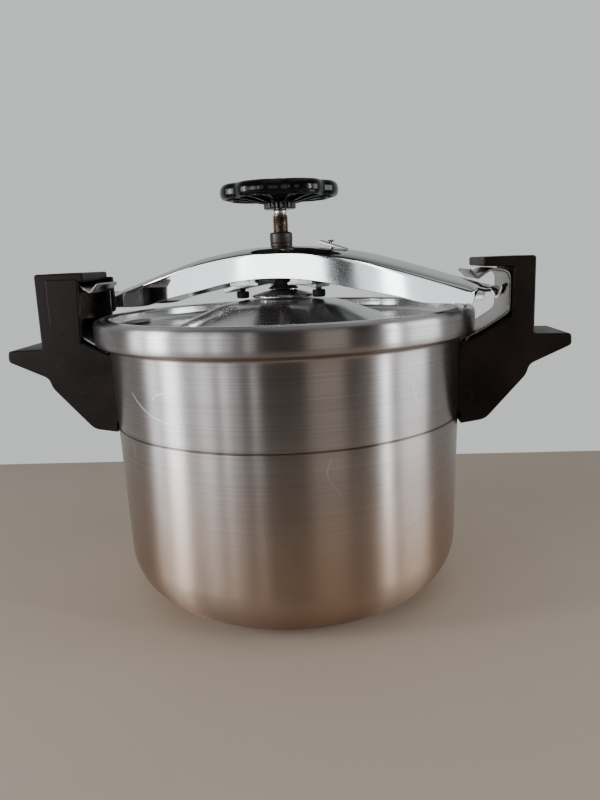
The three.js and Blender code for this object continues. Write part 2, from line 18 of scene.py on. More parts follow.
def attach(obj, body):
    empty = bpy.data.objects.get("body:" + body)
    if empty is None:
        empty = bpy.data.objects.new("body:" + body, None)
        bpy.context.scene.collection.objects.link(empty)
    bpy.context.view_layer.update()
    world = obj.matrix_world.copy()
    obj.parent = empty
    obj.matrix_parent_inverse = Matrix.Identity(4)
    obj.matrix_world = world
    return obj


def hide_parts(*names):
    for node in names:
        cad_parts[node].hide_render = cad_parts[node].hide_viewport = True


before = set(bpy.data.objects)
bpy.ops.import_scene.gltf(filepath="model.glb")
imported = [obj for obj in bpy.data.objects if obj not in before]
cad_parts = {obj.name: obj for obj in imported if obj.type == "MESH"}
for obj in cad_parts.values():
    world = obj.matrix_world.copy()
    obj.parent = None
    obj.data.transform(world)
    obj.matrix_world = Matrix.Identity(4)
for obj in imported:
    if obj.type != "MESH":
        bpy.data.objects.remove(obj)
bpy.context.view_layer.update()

# %% [markdown]
# ## Tools for making shapes
#
# Most of a cooker is turned metal, so the first tool is a lathe: an outline of radius and height is
# spun round an axis. A Screw modifier could do it, but plain rings give even faces and a clean centre
# point. Corners are rounded in the outline itself, because a bevel on a spun mesh is slow and uneven.

# %% Lathe, skin and corner rounding
MM = 0.001
FINE = 192
GAP = 0.3  # play between two pieces that nearly touch


def band(low, high):
    """Faces between two rows of point numbers, where a row of one is a centre point."""
    if len(low) == 1 and len(high) == 1:
        return []
    n = max(len(low), len(high))
    faces = []
    for i in range(n):
        j = (i + 1) % n
        if len(low) == 1:
            faces.append((low[0], high[j], high[i]))
        elif len(high) == 1:
            faces.append((low[i], low[j], high[0]))
        else:
            faces.append((low[i], low[j], high[j], high[i]))
    return faces


def mesh_from(name, points, faces, crease=32):
    """A closed piece from points in millimetres, smooth except at edges sharper than crease."""
    mesh = bpy.data.meshes.new(name)
    mesh.from_pydata([[c * MM for c in p] for p in points], [], faces)
    shape = bmesh.new()
    shape.from_mesh(mesh)
    bmesh.ops.remove_doubles(shape, verts=shape.verts, dist=2e-6)
    bmesh.ops.triangulate(shape, faces=[f for f in shape.faces if len(f.verts) > 4])
    bmesh.ops.recalc_face_normals(shape, faces=shape.faces)
    shape.to_mesh(mesh)
    shape.free()
    piece = bpy.data.objects.new(name, mesh)
    bpy.context.scene.collection.objects.link(piece)
    return smoothed(piece, crease)


def smoothed(piece, crease=32):
    piece.data.shade_smooth()
    piece.data.set_sharp_from_angle(angle=math.radians(crease))
    return piece


def ring(size, z, steps, at=(0.0, 0.0)):
    """Points round an upright axis. The size is a radius, or a rule that gives one for an angle."""
    points = []
    for i in range(steps):
        a = 2 * math.pi * i / steps
        r = size(a) if callable(size) else size
        points.append((at[0] + r * math.cos(a), at[1] + r * math.sin(a), z))
    return points


def turned(name, outline, steps=FINE, at=(0.0, 0.0), crease=32):
    """Spins an outline of (radius, height) about Z. A radius of nothing gives one centre point."""
    closed = tuple(outline[0]) == tuple(outline[-1])
    points, rows = [], []
    for radius, height in outline[:-1] if closed else outline:
        around = steps if radius else 1
        rows.append(range(len(points), len(points) + around))
        points += ring(radius, height, around, at)
    faces = []
    for low, high in zip(rows, rows[1:] + (rows[:1] if closed else [])):
        faces += band(low, high)
    return mesh_from(name, points, faces, crease)


def skinned(name, loops, crease=32, endless=False):
    """Joins equal loops into a skin. Its ends are closed, or meet each other when it is endless."""
    n = len(loops[0])
    points = [p for loop in loops for p in loop]
    rows = [range(k * n, k * n + n) for k in range(len(loops))]
    faces = []
    for low, high in zip(rows, rows[1:] + (rows[:1] if endless else [])):
        faces += band(low, high)
    if not endless:
        faces += [tuple(rows[0]), tuple(rows[-1])]
    return mesh_from(name, points, faces, crease)


def bent(start, corner, end, t):
    """A place on the curve that leaves start towards the corner and arrives at end."""
    return start * (1 - t) ** 2 + corner * (2 * t * (1 - t)) + end * t * t


def rounded(points, reach, steps=6, loop=True):
    """Rounds each corner of an outline. A point may carry its own reach as a third number."""
    out, n = [], len(points)
    for i, point in enumerate(points):
        own = point[2] if len(point) > 2 else reach
        p = Vector(point[:2])
        if not loop and i in (0, n - 1):
            out.append(tuple(p))
            continue
        before = Vector(points[i - 1][:2]) - p
        after = Vector(points[(i + 1) % n][:2]) - p
        cut = min(own, before.length * 0.45, after.length * 0.45)
        if cut < 0.02:
            out.append(tuple(p))
            continue
        start, end = p + before.normalized() * cut, p + after.normalized() * cut
        out += [tuple(bent(start, p, end, k / steps)) for k in range(steps + 1)]
    return out


def lathed(name, corners, reach, curve, steps=FINE, at=(0.0, 0.0), bored=False):
    """Turns an outline with rounded corners. A bored one closes off the axis, a solid one on it."""
    outline = rounded(corners, reach, curve, loop=bored)
    return turned(name, outline + outline[:1] if bored else outline, steps, at)


def arc(cx, cz, radius, start, end, steps):
    out = []
    for i in range(steps + 1):
        a = math.radians(start + (end - start) * i / steps)
        out.append((cx + radius * math.cos(a), cz + radius * math.sin(a)))
    return out


print("shape tools ready:", FINE, "steps round a turned piece")

# %% [markdown]
# Moulded and bent pieces start as a flat outline pushed sideways, with a small rounding round both
# cheeks. A Bevel modifier would round them too, but it often fails after a cut, so the rounding is
# built in first and the holes are cut afterwards with an exact Boolean.

# %% Pressed outlines, bent strips and cuts


def facing_left(outline):
    """The outline in counter-clockwise order."""
    area = sum(a[0] * b[1] - b[0] * a[1] for a, b in zip(outline, outline[1:] + outline[:1]))
    return list(outline) if area > 0 else list(reversed(outline))


def sideways(one, two):
    """The way off a corner between two directions, and how much of a step goes straight off them."""
    side = Vector((-one.y - two.y, one.x + two.x)).normalized()
    return side, max(0.5, side.dot(Vector((-one.y, one.x))))


def drawn_in(outline, amount):
    """Moves a counter-clockwise outline inwards by an even amount."""
    out, n = [], len(outline)
    for i in range(n):
        p = Vector(outline[i])
        one = (p - Vector(outline[i - 1])).normalized()
        two = (Vector(outline[(i + 1) % n]) - p).normalized()
        side, lean = sideways(one, two)
        out.append(tuple(p + side * (amount / lean)))
    return out


def pressed(name, outline, near, far, edge=0.8, crease=32):
    """Pushes an X-Z outline along Y from near to far, with rounded cheeks."""
    outline = facing_left(outline)
    ways = [(1.0, 0.0), (0.62, 0.08), (0.29, 0.29), (0.08, 0.62), (0.0, 1.0)]
    rows = [(inward, near + edge * along) for inward, along in ways]
    rows += [(inward, far - edge * along) for inward, along in reversed(ways)]
    loops = []
    for inward, y in rows:
        loop = drawn_in(outline, edge * inward) if inward else outline
        loops.append([(x, y, z) for x, z in loop])
    return skinned(name, loops, crease)


def strip(path, thick):
    """Gives an open path an even thickness and rounded ends."""
    left, right = [], []
    for i, point in enumerate(path):
        p = Vector(point)
        one = (p - Vector(path[max(0, i - 1)])).normalized() if i else None
        two = (Vector(path[min(len(path) - 1, i + 1)]) - p).normalized() if i < len(path) - 1 else None
        side, lean = sideways(one or two, two or one)
        reach = thick / 2 / lean
        left.append(tuple(p + side * reach))
        right.append(tuple(p - side * reach))
    ends = []
    for here, back, a, b in ((path[-1], path[-2], left[-1], right[-1]),
                             (path[0], path[1], right[0], left[0])):
        out = (Vector(here) - Vector(back)).normalized() * thick * 0.32
        ends.append([tuple(Vector(a) * (1 - share) + Vector(b) * share + out * push)
                     for share, push in ((0.14, 0.7), (0.5, 1.0), (0.86, 0.7))])
    return left + ends[0] + right[::-1] + ends[1]


def rod(name, radius, low, high, at=(0.0, 0.0), steps=64, top=None):
    return turned(name, [(0, low), (radius, low), (top or radius, high), (0, high)], steps, at)


def laid(piece, y, z, turn=1):
    """Lays an upright piece along X, at a given Y and Z. Turn -1 points it the other way."""
    piece.data.transform(Matrix.Rotation(turn * math.pi / 2, 4, "Y"))
    piece.data.transform(Matrix.Translation((0, y * MM, z * MM)))
    return piece


def rod_x(name, radius, start, end, y, z):
    return laid(rod(name, radius, start, end), y, z)


def block(name, x, y, z):
    corners = [(x[i], y[j], z[k]) for i in (0, 1) for j in (0, 1) for k in (0, 1)]
    faces = [(0, 1, 3, 2), (4, 6, 7, 5), (0, 4, 5, 1), (2, 3, 7, 6), (0, 2, 6, 4), (1, 5, 7, 3)]
    return mesh_from(name, corners, faces)


def settled(piece):
    """Gives a piece the mesh that its modifiers show, and takes the modifiers off."""
    made = bpy.data.meshes.new_from_object(piece.evaluated_get(bpy.context.evaluated_depsgraph_get()))
    piece.modifiers.clear()
    old, piece.data = piece.data, made
    bpy.data.meshes.remove(old)
    return piece


def worked(piece, tools, how="DIFFERENCE"):
    """Cuts the tools out of a piece, or joins them on, and throws the tools away."""
    for tool in tools:
        step = piece.modifiers.new("work", "BOOLEAN")
        step.object, step.operation, step.solver = tool, how, "EXACT"
        settled(piece)
        bpy.data.objects.remove(tool)
    return smoothed(piece)


def evened(piece):
    """Leans the shading on the large faces, so that small rounded edges don't cloud the flat ones."""
    step = piece.modifiers.new("even", "WEIGHTED_NORMAL")
    step.weight, step.keep_sharp = 100, True
    return settled(piece)


def mirrored(piece):
    """Turns a right-hand piece into a left-hand one."""
    piece.data.transform(Matrix.Scale(-1, 4, (1, 0, 0)))
    piece.data.flip_normals()
    return smoothed(piece)


def joined(piece, others):
    """Puts several closed shapes in one piece."""
    shape = bmesh.new()
    for part in [piece, *others]:
        shape.from_mesh(part.data)
    shape.to_mesh(piece.data)
    shape.free()
    for part in others:
        bpy.data.objects.remove(part)
    return smoothed(piece)


print("cutting and bending tools ready")

# %% [markdown]
# ## Tools for making finishes
#
# Every finish is a small node tree. Brushing, scratches, worn edges, smears and specks are wanted by
# several materials, so each is a node group with named knobs, built once. The groups only put out
# masks. The shader stays in the material, with its fixed numbers typed on its own sockets.

# %% Node helpers


def add_node(tree, kind, feeds=None, **settings):
    """A node with its settings made and its inputs linked or typed in."""
    made = tree.nodes.new(kind)
    for key, value in settings.items():
        setattr(made, key, value)
    for key, value in (feeds or {}).items():
        if isinstance(value, bpy.types.NodeSocket):
            tree.links.new(value, made.inputs[key])
        else:
            made.inputs[key].default_value = value
    return made


def sums(tree, operation, a, b=0.0):
    return add_node(tree, "ShaderNodeMath", {0: a, 1: b}, operation=operation).outputs[0]


def times(tree, a, b):
    return sums(tree, "MULTIPLY", a, b)


def plus(tree, a, b):
    return sums(tree, "ADD", a, b)


def minus(tree, a, b):
    return sums(tree, "SUBTRACT", a, b)


def away_from(tree, value, middle):
    """How far a value lies from a middle one, on either side."""
    return sums(tree, "ABSOLUTE", minus(tree, value, middle))


def length_of(tree, a, b):
    return sums(tree, "SQRT", plus(tree, times(tree, a, a), times(tree, b, b)))


def axes(tree, vector):
    return add_node(tree, "ShaderNodeSeparateXYZ", {0: vector}).outputs


def between(tree, value, low, high, to_low=0.0, to_high=1.0):
    feeds = {"Value": value, "From Min": low, "From Max": high, "To Min": to_low, "To Max": to_high}
    return add_node(tree, "ShaderNodeMapRange", feeds).outputs["Result"]


def tinted(tree, amount, plain, other):
    """Mixes two colours, each a socket or a plain red, green and blue."""
    plain, other = ((*c, 1.0) if isinstance(c, tuple) else c for c in (plain, other))
    return add_node(tree, "ShaderNodeMix", {0: amount, 6: plain, 7: other}, data_type="RGBA").outputs[2]


def noise(tree, vector, scale, detail, rough=0.5):
    feeds = {"Vector": vector, "Scale": scale, "Detail": detail, "Roughness": rough}
    return add_node(tree, "ShaderNodeTexNoise", feeds).outputs[0]


def new_group(name, inputs, outputs):
    """An empty group with its knobs, its results and the place on the piece to read from."""
    group = bpy.data.node_groups.new(name, "ShaderNodeTree")
    for label, value in inputs:
        socket = group.interface.new_socket(label, in_out="INPUT", socket_type="NodeSocketFloat")
        socket.default_value = value
    for label in outputs:
        group.interface.new_socket(label, in_out="OUTPUT", socket_type="NodeSocketFloat")
    knobs, results = group.nodes.new("NodeGroupInput"), group.nodes.new("NodeGroupOutput")
    place = group.nodes.new("ShaderNodeTexCoord").outputs["Object"]
    return group, knobs.outputs, results.inputs, place


print("node helpers ready")

# %% [markdown]
# A spun pot is brushed while it turns, so its fine lines run round it. Stretching a noise along the
# flat X and Y and squeezing it along height and radius gives lines that follow every turned face and
# meet without a seam. An image wrapped round the wall would show a join at the back.

# %% Turned brushing
RADIUS_SHARE = 1.37  # flat faces get their rings from the radius, walls from the height

ring_lines, knobs, results, place = new_group(
    "ring_lines", [("Lines", 900.0), ("Length", 3.0), ("Broad", 60.0)], ["Fine", "Broad"])
x, y, z = axes(ring_lines, place)
across = plus(ring_lines, z, times(ring_lines, length_of(ring_lines, x, y), RADIUS_SHARE))
for result, lines in (("Fine", "Lines"), ("Broad", "Broad")):
    spread = add_node(ring_lines, "ShaderNodeCombineXYZ", {
        0: times(ring_lines, x, knobs["Length"]), 1: times(ring_lines, y, knobs["Length"]),
        2: times(ring_lines, across, knobs[lines])}).outputs[0]
    ring_lines.links.new(noise(ring_lines, spread, 1.0, 4.0, 0.6), results[result])
print("group ring_lines: fine and broad turning marks")

# %% [markdown]
# Now and then the pot has met a fork or a tap, which leaves a long bent scratch. Each is part of a
# circle seen from the front: the distance from that circle, cut to a stretch of heights and one side.

# %% Bent scratch
bent_scratch, knobs, results, place = new_group("bent_scratch", [
    ("Across", -0.0612), ("Up", 0.178), ("Radius", 0.036), ("Width", 0.0004), ("Start", 0.142),
    ("End", 0.1575), ("Side", -1.0)], ["Mask"])
x, y, z = axes(bent_scratch, place)
off_x, off_z = minus(bent_scratch, x, knobs["Across"]), minus(bent_scratch, z, knobs["Up"])
off_line = away_from(bent_scratch, length_of(bent_scratch, off_x, off_z), knobs["Radius"])
mark = between(bent_scratch, off_line, knobs["Width"], 0.0)
for low, high in ((knobs["Start"], z), (z, knobs["End"]), (y, 0.0),
                  (0.0, times(bent_scratch, off_x, knobs["Side"]))):
    mark = times(bent_scratch, mark, sums(bent_scratch, "LESS_THAN", low, high))
bent_scratch.links.new(mark, results["Mask"])
print("group bent_scratch: a long bent scratch, placed by its knobs")

# %% [markdown]
# Kitchen metal picks up hair-thin scratches that wander in no set direction. The line where a soft
# noise crosses its middle value is exactly such a thin, wandering curve. A second noise breaks the
# curves up, so that they start and stop.

# %% Hairline scratches
hairlines, knobs, results, place = new_group(
    "hairlines", [("Size", 14.0), ("Width", 0.004), ("Sparse", 0.56)], ["Mask"])
off_curve = away_from(hairlines, noise(hairlines, place, knobs["Size"], 1.0, 0.4), 0.5)
thin = between(hairlines, off_curve, 0.0, knobs["Width"], 1.0, 0.0)
gate = between(hairlines, noise(hairlines, place, times(hairlines, knobs["Size"], 1.7), 2.0),
               knobs["Sparse"], plus(hairlines, knobs["Sparse"], 0.05))
hairlines.links.new(times(hairlines, thin, gate), results["Mask"])
print("group hairlines: wandering scratches")

# %% [markdown]
# Hands and cloths rub outside edges first. The Geometry node's Pointiness is high on outside edges and low in
# hollows, so a threshold on it, broken up by noise, gives wear where it belongs. A second threshold darkens
# the hollows, which is painted shade.

# %% Worn edges and painted shade in hollows
HOLLOW_DEEP, HOLLOW_NONE = 0.44, 0.49

edge_wear_and_hollow_shade, knobs, results, place = new_group(
    "edge_wear_and_hollow_shade", [("Start", 0.52), ("Soft", 0.06), ("Breakup", 160.0)], ["Worn", "HollowShade"])
point = edge_wear_and_hollow_shade.nodes.new("ShaderNodeNewGeometry").outputs["Pointiness"]
patches = between(edge_wear_and_hollow_shade, noise(edge_wear_and_hollow_shade, place, knobs["Breakup"], 3.0), 0.35, 0.65, 0.25, 1.0)
worn = between(edge_wear_and_hollow_shade, point, knobs["Start"], plus(edge_wear_and_hollow_shade, knobs["Start"], knobs["Soft"]))
edge_wear_and_hollow_shade.links.new(times(edge_wear_and_hollow_shade, worn, patches), results["Worn"])
# The second output is painted shade, darker where the surface curves inwards.
edge_wear_and_hollow_shade.links.new(between(edge_wear_and_hollow_shade, point, HOLLOW_DEEP, HOLLOW_NONE, 1.0, 0.0), results["HollowShade"])
print("group edge_wear_and_hollow_shade: rubbed edges and hollows")

# %% [markdown]
# Finger marks and water spots change how rough a surface looks, far more than its colour. Cloudy
# noise at two sizes is enough for smears, and a Voronoi pattern with a tight cut makes small specks.

# %% Smears and specks
smears, knobs, results, place = new_group("smears", [("Size", 22.0)], ["Value"])
broad_cloud = noise(smears, place, times(smears, knobs["Size"], 0.31), 2.0)
cloud = times(smears, noise(smears, place, knobs["Size"], 5.0, 0.62), plus(smears, broad_cloud, 0.5))
smears.links.new(between(smears, cloud, 0.35, 0.65), results["Value"])

specks, knobs, results, place = new_group("specks", [("Size", 500.0), ("Cover", 0.22)], ["Mask"])
cell = add_node(specks, "ShaderNodeTexVoronoi", {"Vector": place, "Scale": knobs["Size"]}).outputs["Distance"]
cluster = noise(specks, place, times(specks, knobs["Size"], 0.12), 2.0)
size = times(specks, knobs["Cover"], between(specks, cluster, 0.4, 0.65, 0.2, 1.4))
speck = minus(specks, 1.0, between(specks, cell, times(specks, size, 0.7), size))
specks.links.new(speck, results["Mask"])
print("groups smears and specks ready")

# %% [markdown]
# Painted shade darkens the scribed groove, the fillet under the collar and the foot, and a painted warm
# reflection browns the lower wall. All of it depends only on height, so one group reads the height and gives
# a soft band between two levels.

# %% Bands at a height
height_band, knobs, results, place = new_group(
    "height_band", [("Level", 0.1), ("Reach", 0.001), ("Soft", 0.0005)], ["Mask"])
away = away_from(height_band, axes(height_band, place)[2], knobs["Level"])
end = plus(height_band, knobs["Reach"], knobs["Soft"])
height_band.links.new(between(height_band, away, knobs["Reach"], end, 1.0, 0.0), results["Mask"])
# The bands are painted shade and a painted warm reflection.
print("group height_band: grime in grooves and heat tint")

# %% [markdown]
# ## The finishes
#
# One helper opens a material with a Principled shader and sets the fixed numbers straight on it. A
# second drops one of the groups above into a material with that material's own values. The others
# lay colours over one another, add to the roughness and press a height into the surface.

# %% Material helpers


def finish(name, **fixed):
    """A material with one Principled shader and its fixed numbers."""
    made = bpy.data.materials.new(name)
    made.use_nodes = True
    tree = made.node_tree
    tree.nodes.clear()
    shader = tree.nodes.new("ShaderNodeBsdfPrincipled")
    end = tree.nodes.new("ShaderNodeOutputMaterial")
    tree.links.new(shader.outputs[0], end.inputs[0])
    for key, value in fixed.items():
        shader.inputs[key.replace("_", " ")].default_value = value
    return made, tree, shader


def use(tree, group, **values):
    return add_node(tree, "ShaderNodeGroup", values, node_tree=group).outputs


def clouded(tree, size):
    return use(tree, smears, Size=size)["Value"]


def scratched(tree, size, width, sparse):
    return use(tree, hairlines, Size=size, Width=width, Sparse=sparse)["Mask"]


def coloured(tree, shader, tone, *layers):
    """Lays colours over a tone, each as far as its mask and its amount say."""
    for mask, amount, colour in layers:
        tone = tinted(tree, times(tree, mask, amount), tone, colour)
    tree.links.new(tone, shader.inputs["Base Color"])


def roughened(tree, shader, rough, *layers):
    """Adds masks, each times its amount, to a roughness."""
    for mask, amount in layers:
        rough = plus(tree, rough, times(tree, mask, amount))
    tree.links.new(rough, shader.inputs["Roughness"])


def bumped(tree, shader, height, strength, distance):
    feeds = {"Height": height, "Strength": strength, "Distance": distance}
    tree.links.new(add_node(tree, "ShaderNodeBump", feeds).outputs[0], shader.inputs["Normal"])


def along_the_turning(tree, shader):
    """Tells the shader that the brushed lines run round the axis."""
    tangent = add_node(tree, "ShaderNodeTangent", direction_type="RADIAL", axis="Z").outputs[0]
    tree.links.new(tangent, shader.inputs["Tangent"])
    shader.inputs["Anisotropic Rotation"].default_value = 0.25


def shaded(colour, by):
    """The same colour, darker or lighter."""
    return tuple(min(1, c * by) for c in colour)


print("material helpers ready")

# %% [markdown]
# **Brushed aluminium.** The wall of the pot is spun and brushed. Fine rings spread every reflection
# up and down the wall, which is why it shows tall light and dark bands. The shader's anisotropy does
# that spreading; a Tangent node set to Radial Z tells it that the lines run round the axis. Colour
# and roughness still move a little from line to line. A scratch cuts through the brushing, so the
# anisotropy drops to nothing there and the scratch stays bright from every side.

# %% Brushed aluminium
# The first colour is a painted warm reflection of the board, the second is painted shade.
PAINTED_REFLECTION_BROWN, PAINTED_SHADE_BROWN = (0.48, 0.345, 0.265), (0.16, 0.09, 0.055)
OLD_SCRATCH, NEW_SCRATCH = (0.95, 0.95, 0.94), (0.98, 0.98, 0.98)
SCRATCHES = (
    {}, {"Across": -0.066, "Up": 0.150, "Radius": 0.010, "Width": 0.0003, "Start": 0.155, "End": 0.162},
    {"Across": 0.05, "Up": 0.12, "Radius": 0.06, "Width": 0.0003, "Start": 0.063, "End": 0.082, "Side": 1.0})
# Level, reach and softness in metres, and amount, of painted shade: the filling line's groove, the fillet
# under the collar, and the foot, where it is a painted contact shadow.
PAINTED_SHADE_BANDS = ((0.1266, 0.0004, 0.0006, 0.75), (0.1822, 0.0010, 0.0016, 0.7), (0.0, 0.006, 0.022, 0.55))


def brushed(name, base, dark, rough, spread, line_depth):
    made, tree, shader = finish(name, Metallic=1.0)
    along_the_turning(tree, shader)
    lines = use(tree, ring_lines, Lines=1500.0, Length=5.0, Broad=110.0)
    marks, fine_marks = scratched(tree, 17.0, 0.0035, 0.57), scratched(tree, 55.0, 0.006, 0.6)
    scratch = 0.0
    for numbers in SCRATCHES:
        scratch = sums(tree, "MAXIMUM", scratch, use(tree, bent_scratch, **numbers)["Mask"])
    tree.links.new(times(tree, minus(tree, 1.0, scratch), spread), shader.inputs["Anisotropic"])
    # Painted reflection: the lower wall is browned by height, standing for the warm board it mirrors.
    warm_reflection = use(tree, height_band, Level=0.0, Reach=0.045, Soft=0.085)["Mask"]
    layers = [
        (between(tree, lines["Broad"], 0.3, 0.7), 0.2, dark), (marks, 0.5, OLD_SCRATCH),
        (scratch, 1.0, NEW_SCRATCH),
        (times(tree, warm_reflection, between(tree, clouded(tree, 9.0), 0.0, 1.0, 0.7, 1.0)), 1.0, PAINTED_REFLECTION_BROWN)]
    # Painted shade: brown bands darken the groove, the fillet under the collar and the foot.
    for level, reach, soft, amount in PAINTED_SHADE_BANDS:
        painted_shade_mask = use(tree, height_band, Level=level, Reach=reach, Soft=soft)["Mask"]
        layers.append((painted_shade_mask, amount, PAINTED_SHADE_BROWN))
    coloured(tree, shader, tinted(tree, between(tree, lines["Fine"], 0.35, 0.65), dark, base), *layers)
    roughened(tree, shader, between(tree, lines["Fine"], 0.3, 0.7, rough + 0.03, rough - 0.03),
              (clouded(tree, 16.0), 0.07), (fine_marks, 0.12))
    bumped(tree, shader, minus(tree, lines["Fine"], times(tree, marks, 0.8)), line_depth, 0.00006)
    return made


pot_metal = brushed("brushed_aluminium", (0.54, 0.51, 0.505), (0.43, 0.40, 0.395), 0.31, 0.94, 0.05)
base_metal = brushed("worn_base_aluminium", (0.60, 0.59, 0.58), (0.42, 0.41, 0.40), 0.42, 0.6, 0.3)
print("made", pot_metal.name, "and", base_metal.name)

# %% [markdown]
# **Polished aluminium and plated steel.** The lid is buffed until it mirrors the room, with only faint
# turning marks left. The clamp bar is plated steel, a cleaner and cooler mirror with smears and hairlines.
# The lugs are plated too, dull and stained, and their colour is painted dark, standing for the shade under
# the handle hooks. One recipe with different numbers makes all of them, so they stay in the same family.

# %% Polished metals
STAIN_BROWN = (0.30, 0.24, 0.19)


def polished(name, clean, dull, rough, line_depth=0.0, spread=0.0, stains=0.0, grime_and_hollow_shade=0.5):
    made, tree, shader = finish(name, Metallic=1.0, Anisotropic=spread)
    if spread:
        along_the_turning(tree, shader)
    lines = use(tree, ring_lines, Lines=1100.0, Length=6.0, Broad=80.0)
    marks, cloud = scratched(tree, 26.0, 0.004, 0.55), clouded(tree, 30.0)
    wear = use(tree, edge_wear_and_hollow_shade, Start=0.53, Soft=0.08, Breakup=200.0)
    # The hollow layer is painted shade, darkening the hollows of the piece.
    layers = [(cloud, 0.3, dull), (wear["HollowShade"], grime_and_hollow_shade, shaded(dull, 0.45))]
    if stains:
        layers.append((use(tree, specks, Size=420.0, Cover=0.2)["Mask"], stains, STAIN_BROWN))
    coloured(tree, shader, clean, *layers)
    roughened(tree, shader, rough, (cloud, rough * 0.35), (marks, 0.18), (wear["Worn"], 0.08))
    height = minus(tree, times(tree, lines["Fine"], line_depth), times(tree, marks, 0.6))
    bumped(tree, shader, height, 0.35, 0.00004)
    return made


lid_metal = polished("buffed_aluminium", (0.78, 0.775, 0.77), (0.66, 0.655, 0.65), 0.17,
                     line_depth=0.3, spread=0.7, grime_and_hollow_shade=0.0)
bar_metal = polished("plated_steel", (0.83, 0.835, 0.84), (0.68, 0.68, 0.675), 0.055)
# Painted shade: the lugs' plating gets a dark colour for the shade under the hooks; the bar's leaf and rivet
# share it.
lug_metal_painted_dark = polished("bent_plated_steel", (0.37, 0.36, 0.345), (0.21, 0.195, 0.18), 0.2, stains=0.45)
rivet_metal = polished("rivet_aluminium", (0.70, 0.70, 0.69), (0.5, 0.5, 0.49), 0.24, line_depth=0.3)
print("made", lid_metal.name, bar_metal.name, lug_metal_painted_dark.name, rivet_metal.name)

# %% [markdown]
# **Bakelite.** The handles are moulded in a dark brown-black resin. Cooking heat and washing leave it
# satin, a little browner where it has been rubbed, with a faint powdery skin. Cloudy noise carries the
# colour, worn edges turn lighter, and a very small grain in the bump breaks the highlights.

# %% Handle bakelite
bakelite, tree, shader = finish("handle_bakelite", Specular_IOR_Level=0.2)
mottle, grain, marks = clouded(tree, 34.0), clouded(tree, 900.0), scratched(tree, 38.0, 0.004, 0.58)
wear = use(tree, edge_wear_and_hollow_shade, Start=0.53, Soft=0.05, Breakup=120.0)
coloured(tree, shader, tinted(tree, mottle, (0.009, 0.0052, 0.0042), (0.019, 0.0115, 0.009)),
         (wear["Worn"], 0.25, (0.05, 0.031, 0.024)), (marks, 0.35, (0.12, 0.09, 0.075)))
roughened(tree, shader, between(tree, mottle, 0.0, 1.0, 0.33, 0.47), (marks, 0.15))
bumped(tree, shader, minus(tree, grain, times(tree, marks, 2.0)), 0.3, 0.00004)
print("made", bakelite.name)

# %% [markdown]
# **Gloss black.** The knob comes from the same kind of mould but is polished, so it needs a low
# roughness and small crisp highlights. Dust sits on faces that look up, which the normal's Z picks out.

# %% Knob resin
knob_black, tree, shader = finish("knob_gloss_black", Specular_IOR_Level=0.34)
mottle, marks = clouded(tree, 45.0), scratched(tree, 70.0, 0.005, 0.56)
wear = use(tree, edge_wear_and_hollow_shade, Start=0.52, Soft=0.08, Breakup=260.0)
facing_up = axes(tree, tree.nodes.new("ShaderNodeNewGeometry").outputs["Normal"])[2]
dust = times(tree, use(tree, specks, Size=900.0, Cover=0.16)["Mask"], between(tree, facing_up, 0.5, 0.95))
coloured(tree, shader, tinted(tree, mottle, (0.0045, 0.0045, 0.005), (0.010, 0.0095, 0.0095)),
         (wear["Worn"], 0.25, (0.06, 0.055, 0.05)), (dust, 0.3, (0.22, 0.21, 0.19)))
roughened(tree, shader, between(tree, mottle, 0.0, 1.0, 0.13, 0.22), (marks, 0.2))
bumped(tree, shader, mottle, 0.12, 0.0001)
print("made", knob_black.name)

# %% [markdown]
# ** Zinc, screw steel, brass and bush steel.** Small fittings are less cared for than the pot. Zinc plating goes cloudy and speckled, a screw's thread roots and other hollows are darkened with painted shade, and a turned bush is brown-grey.
# One recipe takes a clean tone, a soiled tone and how much of each, so every fitting is different.

# %% Small metal fittings


def fitting(name, clean, soiled, rough, spots, grime_and_hollow_shade, metallic=1.0):
    made, tree, shader = finish(name, Metallic=metallic)
    cloud, dots = clouded(tree, 120.0), use(tree, specks, Size=650.0, Cover=0.3)["Mask"]
    turning = use(tree, ring_lines, Lines=1800.0, Length=40.0, Broad=300.0)["Fine"]
    wear = use(tree, edge_wear_and_hollow_shade, Start=0.53, Soft=0.1, Breakup=400.0)
    # The hollow layer is painted shade, darkening thread roots and other hollows.
    coloured(tree, shader, clean, (cloud, grime_and_hollow_shade, soiled), (dots, spots, shaded(soiled, 0.35)),
             (wear["HollowShade"], 0.8, shaded(soiled, 0.4)), (wear["Worn"], 0.5, shaded(clean, 1.3)))
    roughened(tree, shader, rough, (cloud, 0.14), (dots, 0.2))
    bumped(tree, shader, minus(tree, times(tree, turning, 0.3), times(tree, dots, 0.5)), 0.4, 0.00008)
    return made


zinc = fitting("speckled_zinc", (0.55, 0.56, 0.55), (0.30, 0.28, 0.25), 0.34, 0.75, 0.7)
screw_steel = fitting("soiled_thread_steel", (0.34, 0.29, 0.23), (0.11, 0.06, 0.034), 0.27, 0.45, 0.9)
neck_steel = fitting("neck_steel", (0.66, 0.65, 0.63), (0.42, 0.38, 0.33), 0.2, 0.15, 0.4)
bush_steel = fitting("bush_steel", (0.062, 0.05, 0.045), (0.03, 0.022, 0.019), 0.38, 0.3, 0.6, 0.7)
brass = fitting("vent_brass", (0.72, 0.53, 0.24), (0.35, 0.22, 0.09), 0.26, 0.3, 0.5)
print("made", zinc.name, screw_steel.name, neck_steel.name, bush_steel.name, brass.name)

# %% [markdown]
# **Rubber.** The seal and the little feet are black rubber; the blow-out plug is a dull red one. Rubber
# is never shiny, so the roughness is high and a fine matt bloom lightens it in clouds.

# %% Rubbers


